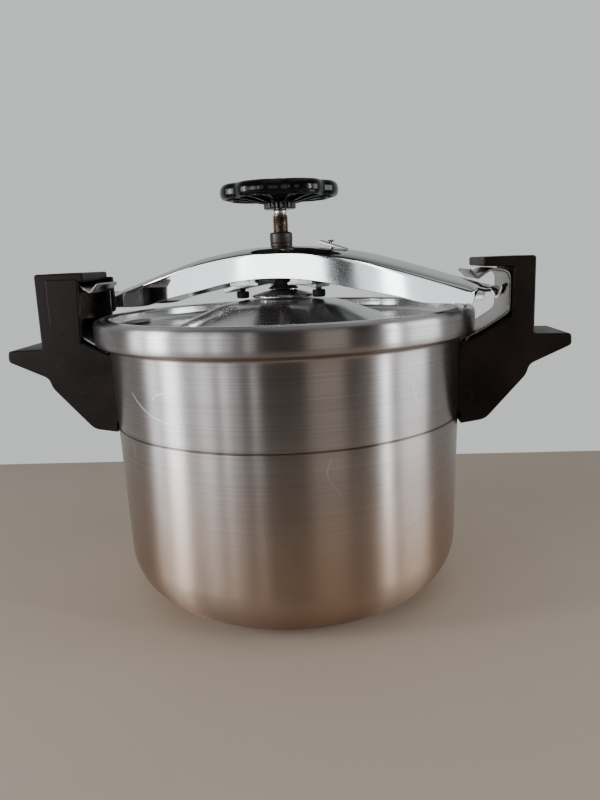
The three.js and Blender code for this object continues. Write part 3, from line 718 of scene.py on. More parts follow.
def rubber_like(name, deep, bloom):
    made, tree, shader = finish(name, Specular_IOR_Level=0.35)
    cloud, grain = clouded(tree, 70.0), clouded(tree, 1400.0)
    wear = use(tree, edge_wear_and_hollow_shade, Start=0.52, Soft=0.08, Breakup=300.0)["Worn"]
    coloured(tree, shader, deep, (cloud, 0.6, bloom), (wear, 0.4, shaded(bloom, 1.8)))
    roughened(tree, shader, between(tree, cloud, 0.0, 1.0, 0.62, 0.8))
    bumped(tree, shader, grain, 0.35, 0.00006)
    return made


seal_rubber = rubber_like("seal_rubber", (0.012, 0.012, 0.013), (0.035, 0.034, 0.034))
plug_rubber = rubber_like("plug_rubber", (0.20, 0.035, 0.02), (0.33, 0.09, 0.06))
foot_black = rubber_like("foot_black", (0.008, 0.008, 0.009), (0.022, 0.021, 0.021))
print("made", seal_rubber.name, plug_rubber.name, foot_black.name)

# %% [markdown]
# ## Putting a piece in its place
#
# Every finished piece gets its finish and the body it moves with, and the frame solids it stands for are
# hidden. One small helper does all three, so that none is forgotten. Another gives some faces of a piece a
# second finish: the worn base of the pot and the smooth neck of the screw.

# %% Dressing a piece


def dressed(piece, body, slot, material, *stands_for):
    piece.data.materials.clear()
    piece.data.materials.append(material)
    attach(piece, body)
    if stands_for:
        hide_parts(*stands_for)
    print(f"{piece.name}: {len(piece.data.polygons)} faces on {body}, {material.name}")


def second_finish(piece, material, chosen):
    """Gives the faces that a test picks out a second material."""
    piece.data.materials.append(material)
    for face in piece.data.polygons:
        face.material_index = 1 if chosen(face) else 0


print("dressing helpers ready")

# %% [markdown]
# ## The pot
#
# The pot is one sheet of aluminium, drawn deep and spun: a flat base, a wide rounded corner, a wall
# that opens very slightly, a scribed filling line and a rolled collar with a ledge for the lid. A
# single outline spun round the axis gives all of it. The ends of the outline meet on the axis, so the
# pot is a real closed shell with an inside, and it still looks right when the lid is lifted away.

# %% Pot shell
BASE_R, WALL_TOP_R, WALL_TOP_Z, CORNER_R, WALL_T = 120.5, 123.9, 181.1, 38.0, 3.2
RIM_R, RIM_INNER_R, RIM_LOW_Z, RIM_TOP_Z, LEDGE_Z = 133.7, 127.9, 185.6, 199.8, 185.8
SCRIBE_Z = 126.6


def wall_radius(z):
    return BASE_R + (WALL_TOP_R - BASE_R) * (z - CORNER_R) / (WALL_TOP_Z - CORNER_R)


flat_r = BASE_R - CORNER_R
pot_line = [(0, 1.2), (58, 1.2), (60, 0.9), (62, 0.1), (flat_r - 2, 0.0)]
pot_line += arc(flat_r, CORNER_R, CORNER_R, -88, 0, 26)
GROOVE = ((-1.6, 0.0), (-0.8, 0.05), (-0.35, 0.42), (0.1, 0.5), (0.5, 0.34), (0.95, 0.02), (1.6, 0.0))
for step, deep in GROOVE:
    pot_line.append((wall_radius(SCRIBE_Z + step) - deep, SCRIBE_Z + step))
pot_line += rounded([
    (WALL_TOP_R - 0.3, WALL_TOP_Z - 8), (WALL_TOP_R, WALL_TOP_Z, 2.2),
    (WALL_TOP_R + 5.5, WALL_TOP_Z + 1.6, 2), (RIM_R - 0.9, RIM_LOW_Z - 2.4, 2),
    (RIM_R, RIM_LOW_Z + 1.2, 1.4), (RIM_R, RIM_TOP_Z - 4.0, 2), (RIM_R - 0.9, RIM_TOP_Z - 1.2, 1.6),
    (RIM_R - 3.0, RIM_TOP_Z, 1.4), (RIM_INNER_R + 0.2, RIM_TOP_Z - 0.1, 1.0), (RIM_INNER_R, LEDGE_Z, 0.8),
    (WALL_TOP_R - WALL_T, LEDGE_Z, 0.9), (WALL_TOP_R - WALL_T, LEDGE_Z - 6),
], 1, 6, loop=False)
pot_line += arc(flat_r, CORNER_R + 0.8, CORNER_R - WALL_T, 0, -86, 20)
pot_line += [(flat_r, 4.0), (30, 4.0), (0, 4.0)]
pot = turned("pot_shell", pot_line, 256, crease=28)
dressed(pot, "pot", "body_alu", pot_metal, "pot_body")
second_finish(pot, base_metal, lambda face: face.center.z < 0.004 and face.normal.z < -0.5)

# %% [markdown]
# ## The lid and its seal
#
# The lid is a shallow dish that drops inside the collar. Its floor is flat, a broad cone rises from it
# to a low dome, and the outer edge is rolled into a bright bead. It is turned like the pot, with the
# bead drawn as most of a circle. A thin rubber ring sits on the ledge underneath.

# %% Lid, seal and polished cap
LID_R, LID_T, LID_FLOOR_Z, LID_EDGE_Z, BEAD_R = 126.6, 2.4, 190.6, 200.3, 2.35
CONE_FOOT_R, CONE_TOP_R, CONE_TOP_Z, DOME_TOP_Z, CAP_R = 82.0, 44.0, 205.0, 209.4, 22.5
under = LID_FLOOR_Z - LID_T

lid_top = rounded([
    (0, DOME_TOP_Z), (24, DOME_TOP_Z - 1.4, 8), (CONE_TOP_R, CONE_TOP_Z, 7),
    (CONE_FOOT_R - 1.5, LID_FLOOR_Z, 6), (118.6, LID_FLOOR_Z, 2.4), (121.4, LID_FLOOR_Z + 2.6, 1.6),
    (121.9, 196.6), (121.98, 197.6),
], 2, 10, loop=False)
lid_bead = arc(LID_R - BEAD_R, LID_EDGE_Z - BEAD_R, BEAD_R, 170, -80, 22)
lid_low = rounded([
    (LID_R - 2.1, 195.0), (LID_R - 2.2, under + 1.2, 1.4), (LID_R - 4.6, under, 1.4),
    (CONE_FOOT_R - 1, under, 5), (CONE_TOP_R - 1, CONE_TOP_Z - LID_T - 0.2, 6),
    (24, DOME_TOP_Z - LID_T - 1.4, 8), (0, DOME_TOP_Z - LID_T),
], 2, 6, loop=False)
lid = turned("lid_dish", lid_top + lid_bead + lid_low, 256, crease=40)
dressed(lid, "lid_set", "polished_alu", lid_metal, "lid")

seal_low, seal_high = LEDGE_Z + GAP, under - GAP
seal = lathed("seal_ring", [
    (121.6, (seal_low + seal_high) / 2), (122.4, seal_low), (126.8, seal_low),
    (127.3, (seal_low + seal_high) / 2), (126.8, seal_high), (122.4, seal_high),
], 0.5, 4, bored=True)
dressed(seal, "pot", "rubber", seal_rubber, "lid_gasket")

cap_low = DOME_TOP_Z + GAP
cap = lathed("lid_cap_disc", [
    (0, cap_low), (13, cap_low - 0.3, 3), (CAP_R - 1, cap_low - 0.9, 0.5), (CAP_R, cap_low - 0.2, 0.5),
    (CAP_R - 0.5, cap_low + 1.0, 0.7), (15, cap_low + 3.0, 3), (9, cap_low + 4.3, 2.5), (0, cap_low + 4.6),
], 1, 6, 160)
dressed(cap, "lid_set", "polished_alu", lid_metal, "lid_cap")

# %% [markdown]
# ## Vent, weight and blow-out plug
#
# Steam leaves through a brass nozzle, and a small steel weight drops over it. A rubber plug gives way
# before anything else does. These sit behind the bar, where they are hardly seen, but the cooker is
# looked at from all sides, so they are turned with the same care: grooves on the weight, a hexagon nut.

# %% Vent parts
VENT, PLUG = (-4.0, 58.0), (-46.0, 84.0)
SEAT_Z, NUT_R, NUT_STEPS = 203.0, 6.4, 96
nozzle = lathed("vent_stem", [
    (1.2, 188), (3.1, 188, 0.3), (3.1, SEAT_Z, 0.2), (5.6, SEAT_Z, 0.5), (5.6, SEAT_Z + 3, 0.6),
    (3.4, SEAT_Z + 4, 0.8), (3.0, 218, 0.5), (1.2, 219.5, 0.3),
], 0.3, 4, 64, VENT, bored=True)
dressed(nozzle, "lid_set", "brass", brass, "vent_nozzle")


def nut_radius(a, widest):
    """A hexagon's radius at an angle, with its corners turned down to the widest radius."""
    return min(NUT_R * math.cos(math.pi / 6) / math.cos((a % (math.pi / 3)) - math.pi / 6), widest)


nut_loops = []
for share, z in ((0.9, 189.2), (0.98, 189.6), (1.0, 190.0), (1.0, 192.4), (0.98, 192.8), (0.9, 193.2)):
    nut_loops.append(ring(lambda a: nut_radius(a, NUT_R * share), z, NUT_STEPS, VENT))
nut = worked(skinned("vent_hexagon", nut_loops), [rod("bore", 3.4, 180, 200, VENT)])
dressed(nut, "lid_set", "brass", brass, "vent_nut")

WEIGHT_R, WEIGHT_GROOVE_R, WEIGHT_BORE_R, WEIGHT_LOW = 11.0, 10.45, 3.7, 209.2
weight_line = [(WEIGHT_BORE_R, WEIGHT_LOW), (9.9, WEIGHT_LOW), (10.6, 209.5), (WEIGHT_R, 210.2)]
for groove in (213.0, 216.0, 219.0):
    weight_line += [(WEIGHT_R, groove - 0.7), (WEIGHT_GROOVE_R, groove - 0.35),
                    (WEIGHT_GROOVE_R, groove + 0.35), (WEIGHT_R, groove + 0.7)]
weight_line += rounded([
    (WEIGHT_R, 220.6), (WEIGHT_R, 222.2, 0.8), (9.3, 224.5, 1.0), (4.2, 225.4, 1.2), (3.3, 227.4, 1.0),
    (4.7, 229.5, 1.0), (3.6, 231.3, 0.9), (0, 231.6),
], 1, 6, loop=False)
weight_line += [(0, 221.2), (1.6, 220.6), (WEIGHT_BORE_R, 218.6), (WEIGHT_BORE_R, WEIGHT_LOW)]
dressed(turned("pressure_weight", weight_line, 128, VENT), "weight", "chrome", bar_metal, "regulator_weight")

plug = lathed("blow_out_plug", [
    (0, 184.6), (6.8, 184.6, 0.6), (7.4, 185.6, 0.5), (7.0, under - GAP, 0.3), (4.9, under - GAP, 0.3),
    (4.9, LID_FLOOR_Z + GAP, 0.3), (7.0, LID_FLOOR_Z + GAP, 0.3), (7.0, LID_FLOOR_Z + 2.0, 0.6),
    (5.4, LID_FLOOR_Z + 3.3, 0.8), (2.4, LID_FLOOR_Z + 3.6, 0.5), (1.6, LID_FLOOR_Z + 2.6, 0.5),
    (0, LID_FLOOR_Z + 2.6),
], 0.4, 4, 96, PLUG)
dressed(plug, "lid_set", "red_rubber", plug_rubber, "safety_plug")

# %% [markdown]
# ## The clamp bar
#
# The bar is pressed from thick steel sheet: a shallow upside-down channel that is high in the middle
# and falls to each end, where the skirts stop and a bare tongue is bent into a hook. A lofted skin suits
# it, because the section changes all the way along. Heights are kept in three short tables of distance
# from the middle, and a smooth curve through them avoids flat spots that plating would show up.

# %% Bar section and loft
BAR_YAW = math.radians(-20.5)
BAR_TOP_Z, BAR_T, BAR_HALF_W, BAR_TIP_R = 244.0, 2.0, 20.0, 153.6
SKIRT_END_R, TONGUE_FROM_R, TONGUE_REACH = 138.0, 137.0, 3.2
CROWN_FALL, SHOULDER_BEND, SKIRT_ROUND = 4.6, 2.4, 0.35
CREST = [(0, BAR_TOP_Z), (14, BAR_TOP_Z - 0.1), (30, 242.6), (60, 237.8), (90, 229.8), (115, 222.2),
         (135, 216.2), (144, 213.6), (147.6, 213.4), (150.6, 209.4), (BAR_TIP_R, 215.2)]
SKIRT = [(0, 222.4), (30, 220.4), (60, 214.6), (90, 208.8), (106, 204.6), (SKIRT_END_R, 203.6)]
HALF = [(0, BAR_HALF_W), (SKIRT_END_R, BAR_HALF_W), (147.6, BAR_HALF_W - 2), (BAR_TIP_R, BAR_HALF_W - 5)]
CLIP_R, CLIP_Y, PIN_HOLE_R = 46.0, -6.0, 1.8
PIN_AT = (CLIP_R - 6, CLIP_Y)
DRILL_LOW, DRILL_HIGH = 225, 260  # a drill that goes right through the bar's crest


def along(table, r):
    """A smooth curve through a table, level with the middle of the bar."""
    last = len(table) - 1
    for i in range(last):
        (r0, v0), (r1, v1) = table[i], table[i + 1]
        if r <= r1 or i == last - 1:
            before = (-table[1][0], table[1][1]) if i == 0 else table[i - 1]
            after = table[i + 2] if i + 2 <= last else (2 * r1 - r0, 2 * v1 - v0)
            rise0, rise1 = (v1 - before[1]) / (r1 - before[0]), (after[1] - v0) / (after[0] - r0)
            t = min(1.0, (r - r0) / (r1 - r0))
            span = r1 - r0
            return ((2 * t ** 3 - 3 * t ** 2 + 1) * v0 + (t ** 3 - 2 * t ** 2 + t) * span * rise0
                    + (3 * t ** 2 - 2 * t ** 3) * v1 + (t ** 3 - t ** 2) * span * rise1)


def straight(table, r):
    """Straight lines through a table."""
    for (r0, v0), (r1, v1) in zip(table, table[1:]):
        if r <= r1:
            return v0 + (v1 - v0) * (r - r0) / (r1 - r0)
    return table[-1][1]


def skirt_at(r):
    full = along(SKIRT, min(r, SKIRT_END_R))
    tongue = along(CREST, r) - BAR_T - 1.0
    if r < TONGUE_FROM_R:
        return full
    return full + (tongue - full) * min(1.0, (r - TONGUE_FROM_R) / TONGUE_REACH)


def bar_section(x):
    """One cut through the bar: up the outer skirt, over the crown and back along the inside."""
    r = abs(x)
    crest, half = along(CREST, r), straight(HALF, r)
    skirt = min(skirt_at(r), crest - BAR_T - 1.0)
    crown = min(CROWN_FALL, (crest - skirt) * 0.36)
    corner = min(SHOULDER_BEND, (crest - skirt) * 0.3)
    shell = []
    for inset, drop in ((0.0, 0.0), (BAR_T, BAR_T)):
        h, top = half - inset, crest - drop
        bend = max(0.5, corner - inset * 0.6)
        line = [(h + (SKIRT_ROUND if inset else -SKIRT_ROUND), skirt), (h, skirt + SKIRT_ROUND)]
        arch = [(h * math.cos(math.pi * k / 16), crown * math.cos(math.pi * k / 16) ** 4) for k in range(17)]
        shoulder = max(skirt + 0.6, top - arch[0][1])
        line += [(h, max(skirt + 0.4, shoulder - bend))]
        first = (arch[1][0], max(skirt + 0.7, top - arch[1][1]))
        for k in range(1, 6):
            line.append((bent(h, h, first[0], k / 6), bent(line[2][1], shoulder, first[1], k / 6)))
        line += [(y, max(skirt + 0.7, top - fall)) for y, fall in arch[1:9]]
        shell.append(line + [(-y, z) for y, z in reversed(line[:-1])])
    return shell[0] + shell[1][::-1]


reach = [3.0 * i for i in range(45)] + [133 + 0.5 * i for i in range(42)] + [BAR_TIP_R - 0.3, BAR_TIP_R]
stations = [-r for r in reversed(reach[1:])] + reach
loops = []
for x in stations:
    section = bar_section(x)
    if abs(x) == BAR_TIP_R:
        mid = sum(z for _, z in section) / len(section)
        section = [(y * 0.985, mid + (z - mid) * 0.72) for y, z in section]
    loops.append([(x, y, z) for y, z in section])
bar = skinned("clamp_bar", loops, crease=38)
bar = worked(bar, [rod("bush_hole", 7.3, DRILL_LOW, DRILL_HIGH),
                   rod("pin_hole", PIN_HOLE_R, DRILL_LOW, DRILL_HIGH, PIN_AT)])


def on_the_bar(piece, slot, material, node):
    """Swings a piece to the angle of the bar and lets it move with the bar."""
    piece.data.transform(Matrix.Rotation(BAR_YAW, 4, "Z"))
    dressed(piece, "bar_set", slot, material, node)


on_the_bar(bar, "chrome", bar_metal, "stirrup_bar")

# %% [markdown]
# A small plated leaf is riveted on the bar beside the bush. It is a bent strip, so it is pressed from
# its side outline. The rivet's head shows on top.

# %% Leaf and its rivet
LEAF_HALF_W = 3.2
leaf_base = straight(CREST, CLIP_R) + 0.9
leaf_line = rounded([
    (CLIP_R + 5, leaf_base - 1.4, 0.3), (CLIP_R + 5.4, leaf_base - 0.3, 0.4),
    (CLIP_R - 14, leaf_base + 6.2, 0.5), (CLIP_R - 15.2, leaf_base + 3.6, 0.5),
    (CLIP_R - 9, leaf_base + 1.9, 3), (CLIP_R - 3, leaf_base + 0.6, 3),
], 0.5, 6)
leaf = pressed("bar_leaf_strip", leaf_line, CLIP_Y - LEAF_HALF_W, CLIP_Y + LEAF_HALF_W, 0.35)
leaf = worked(leaf, [rod("pin_hole", PIN_HOLE_R, DRILL_LOW, DRILL_HIGH, PIN_AT)])
on_the_bar(leaf, "chrome", lug_metal_painted_dark, "bar_leaf")

leaf_top, pin_low = leaf_base + 3.5, straight(CREST, PIN_AT[0]) - BAR_T - 1.6
pin = lathed("leaf_pin", [
    (0, pin_low - 0.8), (2.6, pin_low - 0.8, 0.4), (2.6, pin_low - 0.2, 0.3), (1.5, pin_low, 0.2),
    (1.5, leaf_top + 1.2, 0.2), (2.6, leaf_top + 1.3, 0.3), (2.1, leaf_top + 2.2, 0.7), (0, leaf_top + 2.4),
], 0.3, 4, 48, PIN_AT)
on_the_bar(pin, "chrome", lug_metal_painted_dark, "leaf_rivet")

# %% [markdown]
# ## Bush and screw
#
# A dark steel bush is pressed through the bar and carries the thread. The screw itself gets a true
# helix: the surface is a grid of angle and height, and its radius follows a rounded saw-tooth that
# climbs one pitch per turn. Stacked rings would be cheaper, but a thread that doesn't climb looks wrong
# from close by, and it wouldn't seem to wind when the knob turns.

# %% Threaded bush
BUSH_LOW, BUSH_TOP, BUSH_R, BUSH_NECK_R = BAR_TOP_Z + GAP, 253.8, 7.9, 7.0
SCREW_R, ROOT_R, PITCH = 5.45, 4.75, 1.5
bush = lathed("bar_bush", [
    (SCREW_R + GAP, 238.6), (BUSH_NECK_R, 238.6, 0.4), (BUSH_NECK_R, BUSH_LOW, 0.2), (BUSH_R, BUSH_LOW, 0.4),
    (BUSH_R, BUSH_LOW + 1.6, 0.2), (7.55, BUSH_LOW + 1.9, 0.2), (7.55, BUSH_LOW + 2.3, 0.2),
    (BUSH_R, BUSH_LOW + 2.6, 0.2), (BUSH_R, BUSH_TOP - 0.9, 0.6), (7.1, BUSH_TOP, 0.5),
    (SCREW_R + 0.5, BUSH_TOP, 0.2), (SCREW_R + GAP, BUSH_TOP - 0.6, 0.2),
], 0.3, 4, 96, bored=True)
dressed(bush, "bar_set", "dark_steel", bush_steel, "threaded_bush")

# %% Screw with a climbing thread
FOOT_LOW = cap_low + 4.9
FOOT_TOP = FOOT_LOW + 7.6
THREAD_LOW, THREAD_TOP, AROUND = FOOT_TOP + 0.9, 265.2, 64


def thread_radius(a, z):
    """The radius at an angle and a height, fading to the root at both ends of the thread."""
    climb = (z / PITCH - a / (2 * math.pi)) % 1.0
    tooth = min(1.0, max(0.0, 1.25 * (1 - abs(2 * climb - 1)) - 0.1))
    fade = min(1.0, (z - THREAD_LOW) / 1.2, (THREAD_TOP - z) / 1.2)
    return ROOT_R + (SCREW_R - ROOT_R) * tooth * max(0.0, fade)


stem = ((3.0, FOOT_LOW + 1.6), (3.2, FOOT_LOW + 1.9), (3.2, FOOT_TOP + 0.5), (ROOT_R, THREAD_LOW))
neck = ((ROOT_R, THREAD_TOP), (4.7, 265.5), (4.25, 266.0), (4.25, 266.3), (4.4, 266.5), (4.4, 268.9),
        (4.2, 269.2), (3.9, 269.4), (3.9, 285.6), (3.7, 285.8))
loops = [ring(radius, z, AROUND) for radius, z in stem]
steps = int((THREAD_TOP - THREAD_LOW) / (PITCH / 8))
for k in range(1, steps):
    z = THREAD_LOW + (THREAD_TOP - THREAD_LOW) * k / steps
    loops.append(ring(lambda a: thread_radius(a, z), z, AROUND))
loops += [ring(radius, z, AROUND) for radius, z in neck]
screw = skinned("knob_screw", loops, crease=50)
dressed(screw, "screw", "screw_steel", screw_steel, "spindle_screw")
second_finish(screw, neck_steel, lambda face: face.center.z > THREAD_TOP * MM)

# %% [markdown]
# ## Thrust foot, yoke plate and its feet
#
# The screw ends in a black trumpet-shaped foot that presses on the lid's cap. A zinc-plated yoke hangs
# under the bar and stands on two little feet, so the bar can't rock. The plate is a bent strip with side
# rails, joined with a Boolean so that the corners run into each other. It's open at the front of the
# middle, where the foot comes down.

# %% Foot and yoke
foot = lathed("press_foot", [
    (0, FOOT_LOW), (10.2, FOOT_LOW, 0.5), (10.8, FOOT_LOW + 0.7, 0.5), (9.0, FOOT_LOW + 1.6, 1.0),
    (6.9, FOOT_LOW + 2.9, 1.6), (5.8, FOOT_LOW + 5.0, 1.6), (5.4, FOOT_TOP, 0.4), (3.5, FOOT_TOP, 0.2),
    (3.5, FOOT_LOW + 1.3), (0, FOOT_LOW + 1.3),
], 0.5, 6, 128)
dressed(foot, "foot", "gloss_black", foot_black, "thrust_foot")

YOKE_T, YOKE_HALF_W, RAIL_IN, RAIL_OUT, OPENING_R = 3.0, 13, 11.5, 17.4, 11.6
STUD_LEFT_X, STUD_RIGHT_X, STUD_HOLE_R = -33.0, 27.4, 2.3
yoke_path = [(-41, 214.2), (-34, 216.4, 3), (-14, 219.6, 6), (14, 219.6, 6), (30, 216.6)]
yoke = strip(rounded(yoke_path, 4, 8, loop=False), YOKE_T)
yoke = pressed("yoke_bridge", yoke, -YOKE_HALF_W, YOKE_HALF_W, 0.5)
rail = rounded([(-34, 217.6), (30, 217.6), (30, 219.6), (29, 223.4), (14, 223.6), (13, 219.8), (-13, 219.8),
                (-14, 223.6), (-32, 223.4), (-34, 219.6)], 0.8, 4)
rails = [pressed("rail", rail, *ends, 0.5) for ends in ((RAIL_IN, RAIL_OUT), (-RAIL_OUT, -RAIL_IN))]
yoke = worked(yoke, rails, "UNION")
holes = [rod("middle_hole", OPENING_R, 200, 232),
         block("near_gap", (-OPENING_R, OPENING_R), (-19, 0), (208, 228))]
holes += [rod("stud_hole", STUD_HOLE_R, 200, 232, (x, 0)) for x in (STUD_LEFT_X, STUD_RIGHT_X)]
on_the_bar(worked(yoke, holes), "zinc", zinc, "yoke_plate")

for side, x, seat, low in (("left", STUD_LEFT_X, 214.4, DOME_TOP_Z - 1.3),
                           ("right", STUD_RIGHT_X, 214.9, DOME_TOP_Z - 1.0)):
    stud = lathed(f"yoke_stud_{side}", [
        (0, low), (3.8, low, 0.6), (4.6, low + 0.9, 0.6), (4.6, seat - 1.8, 0.4), (4.0, seat - 1.3, 0.3),
        (2.0, seat - 1.3, 0.3), (2.0, seat + 4.4, 0.4), (1.2, seat + 5, 0.3), (0, seat + 5),
    ], 0.4, 4, 64, (x, 0))
    on_the_bar(stud, "rubber", foot_black, f"yoke_foot_{side}")

# %% [markdown]
# ## The knob
#
# The knob is moulded with seven soft lobes, so that wet fingers can grip it. It's a stack of rings whose
# radius dips at seven places, and the dip fades out towards the middle. Underneath it is hollow: a cone
# runs from the fluted hub to the rim, stiffened by thin ribs. Those are seen from the front, because the
# knob stands high, so they are built and not left to a bump.

# %% Knob body
KNOB_R, LOBES, LOBE_DEPTH, NOTCH = 41.3, 7, 3.0, math.radians(-85.4)
KNOB_HIGH, KNOB_STEPS, HUB_FLUTES, RIBS = 286.4, 252, 18, 14


def lobed(a):
    wave = 0.5 + 0.5 * math.cos(LOBES * (a - NOTCH))
    return KNOB_R - LOBE_DEPTH * wave ** 3


def knob_ring(radius, z, follow=0, flutes=0):
    """One ring. Follow is how much of the lobed outline it takes, flutes how deep the hub's flutes cut."""
    def size(a):
        plain = radius * (follow * lobed(a) / KNOB_R + 1 - follow)
        return plain - flutes * (0.5 + 0.5 * math.cos(HUB_FLUTES * a)) ** 4

    return ring(size, z, KNOB_STEPS)


# Radius, height, follow and flutes, from under the hub round the rim to the top and down the bore.
knob_side = [
    (4.75, 269.9), (5.0, 269.5), (9.4, 269.4), (10.5, 269.5, 0, 0.1), (11.1, 269.9, 0, 0.45),
    (11.3, 270.8, 0, 0.6), (11.3, 273.2, 0, 0.6), (11.7, 274.2, 0, 0.45), (12.6, 275.0, 0, 0.2),
    (14.6, 275.7), (20.0, 276.9, 0.1), (28.0, 278.3, 0.45), (33.6, 279.2, 0.85), (35.6, 279.2, 1),
    (36.6, 278.6, 1), (37.1, 277.6, 1), (37.6, 276.8, 1), (38.4, 276.4, 1), (39.3, 276.6, 1),
    (40.2, 277.3, 1), (40.9, 278.5, 1), (41.25, 280.0, 1), (41.3, 281.6, 1), (41.1, 283.2, 1),
    (40.5, 284.7, 1), (39.5, 285.8, 1), (38.1, 286.35, 1), (36.4, 286.4, 0.95), (33.5, 286.1, 0.8),
    (29.0, 285.8, 0.55), (23.0, 285.9, 0.25), (16.0, 286.3, 0.05), (10.5, 286.9), (7.4, 287.25),
    (6.2, 287.3), (5.9, 287.0), (4.95, 286.8), (4.9, 284.8), (4.3, 284.7), (4.25, 270.3),
]
knob = skinned("grip_knob", [knob_ring(*row) for row in knob_side], crease=40, endless=True)

rib_line = [(10.6, 273.6), (12.4, 273.4), (24.0, 275.8), (35.0, 277.2), (36.9, 277.6), (36.2, 279.6),
            (10.6, 276.2)]
ribs = []
for i in range(RIBS):
    ribs.append(pressed("rib", rib_line, -0.7, 0.7, 0.25))
    ribs[-1].data.transform(Matrix.Rotation(NOTCH + 2 * math.pi * (i + 0.5) / RIBS, 4, "Z"))
dressed(joined(knob, ribs), "screw", "gloss_black", knob_black, "knob")

# %% [markdown]
# A small disc closes the hole over the screw's end. It has a shallow dish with a raised rim, and no mark.

# %% Centre disc
disc = lathed("knob_disc", [
    (0, KNOB_HIGH), (4.5, KNOB_HIGH, 0.2), (4.5, KNOB_HIGH + 1.35), (5.6, KNOB_HIGH + 1.35, 0.2),
    (5.6, 289.3, 0.5), (5.0, 290, 0.5), (3.6, 290, 0.5), (3.0, 289.5, 0.5), (0, 289.4),
], 0.3, 5, 96)
dressed(disc, "screw", "gloss_black", knob_black, "knob_insert")

# %% [markdown]
# ## The lugs
#
# Each lug is a strap of plated steel. It runs up the pot wall, out under the collar, up the inside of the
# handle and over into a V-shaped lip that the bar end hooks into. One path with an even thickness gives
# the strap. The left lug also has a side wall at the back, which lines the pocket of the left handle.

# %% Lug straps
SLOT_R, LUG_HALF_W, LUG_T, LUG_WALL_R = 156.4, 21.5, 2.0, 125.4
RIVET_Y, RIVET_Z, PIN_Z = (-13.0, 13.0), 163.0, 141.0
strap_wall = SLOT_R - GAP - LUG_T / 2
strap_path = rounded([
    (LUG_WALL_R, 131), (LUG_WALL_R + 0.55, 172, 3), (127.3, 178.2, 2.4), (134.6, 181.3, 3),
    (strap_wall - 3.6, 191.9, 1.6), (strap_wall - 0.8, 194.6, 1.6), (strap_wall, 198, 2),
    (strap_wall, 217, 2.6), (strap_wall - 1.4, 220.6, 1.8), (strap_wall - 5, 222.4, 2),
    (143.8, 223.2, 1.6), (141.2, 222.6, 1.4), (133.7, 217.6, 1.2), (128.4, 222.9),
], 2, 7, loop=False)


def wall_cutter(name, low, high, play):
    """A cone as wide as the pot's wall, with a little play, to cut a piece to the wall's curve."""
    return rod(name, wall_radius(low) + play, low, high, steps=256, top=wall_radius(high) + play)


def made_lug(walled):
    lug = pressed("lug", strip(strap_path, LUG_T), -LUG_HALF_W, LUG_HALF_W, 0.45)
    if walled:
        wall = [(133, 196.8), (SLOT_R - GAP - 1, 196.8), (SLOT_R - GAP - 1, 220.2), (133, 220.2)]
        cheek = pressed("cheek", rounded(wall, 2.5, 5), LUG_HALF_W - LUG_T, LUG_HALF_W, 0.4)
        lug = worked(lug, [cheek], "UNION")
    holes = [rod_x("hole", 2.9, 118, 132, y, RIVET_Z) for y in RIVET_Y]
    holes += [rod_x("hole", 2.7, 118, 134, y, PIN_Z) for y in RIVET_Y]
    return worked(lug, [wall_cutter("shell", 120, 176, 0.35), *holes])


for hand in ("right", "left"):
    lug = made_lug(hand == "left")
    lug = mirrored(lug) if hand == "left" else lug
    lug.name = f"lug_strap_{hand}"
    dressed(lug, "pot", "chrome", lug_metal_painted_dark, f"lug_{hand}")

# %% [markdown]
# ## The handles
#
# A handle is one bakelite moulding: a hook over the lug at the top, a block in the middle, a pointed grip
# outside and a foot that tapers down the wall. Its outline is rounded and pushed sideways. Then the
# parts that touch something else are cut: a seat for the round wall, a channel for the strap, and
# deep holes for the screws. The left handle also gets two cheeks, which close it into a pocket.

# %% Handle mouldings
HANDLE_HALF_W, PANEL_RISE = 25.9, 0.9
handle_line = [
    (136.3, 231.4, 1.8), (170.9, 231.4, 2.4), (170.9, 179.4, 2.6), (195.7, 178.8, 2.4), (196.2, 171, 2.4),
    (168.4, 158.4, 4), (166.4, 151.4, 4), (139, 120.6, 4), (121.4, 117.8, 2), (119, 121, 1.6),
    (119, 172.2, 2), (135.6, 180, 2), (SLOT_R, 192.4, 2), (SLOT_R, 224.4, 1.6), (136.3, 225.2, 1.8),
]


def made_handle(pocket):
    handle = pressed("handle", rounded(handle_line, 2, 6), -HANDLE_HALF_W, HANDLE_HALF_W, 1.1)
    if pocket:
        near = [(140.6, 227.2), (162.8, 227.2), (162.8, 195.8), (142.2, 181.6)]
        far = [(131.6, 227.4), (157, 227.4), (157, 192), (137, 183), (136.6, 199.4), (131.4, 201.8)]
        near, far = rounded(near, 1.6, 5), rounded(far, 1.6, 5)
        cheeks = [pressed("near", near, -HANDLE_HALF_W - PANEL_RISE, -LUG_HALF_W - GAP, 0.7),
                  pressed("far", far, LUG_HALF_W + GAP, HANDLE_HALF_W - 0.05, 0.5)]
    channel = pressed("channel", [
        (118, 130.5), (LUG_WALL_R + 1.3, 130.5), (LUG_WALL_R + 1.9, 172.4), (129, 176.2), (124, 190),
        (118, 190),
    ], -LUG_HALF_W - GAP, LUG_HALF_W + GAP, 0.05)
    relief = pressed("relief", [
        (116, 116), (122.1, 116), (122.3, 124), (121.6, 125.8), (120.4, 126.4), (116, 126.4)], -40, 40, 0.05)
    deep = [(0, 117), (2.7, 117), (2.7, 145.5), (5.3, 145.5), (5.3, 175), (0, 175)]
    holes = [laid(turned("deep_hole", deep, 64), y, PIN_Z) for y in RIVET_Y]
    holes += [rod_x("rivet_room", 5.2, 119.3, 131.2, y, RIVET_Z) for y in RIVET_Y]
    handle = worked(handle, [wall_cutter("seat", 112, 182, GAP), channel, relief, *holes])
    return joined(handle, cheeks) if pocket else handle


for hand in ("right", "left"):
    handle = made_handle(hand == "left")
    handle = mirrored(handle) if hand == "left" else handle
    handle.name = f"handle_grip_{hand}"
    dressed(evened(handle), "pot", "bakelite", bakelite, f"handle_{hand}")

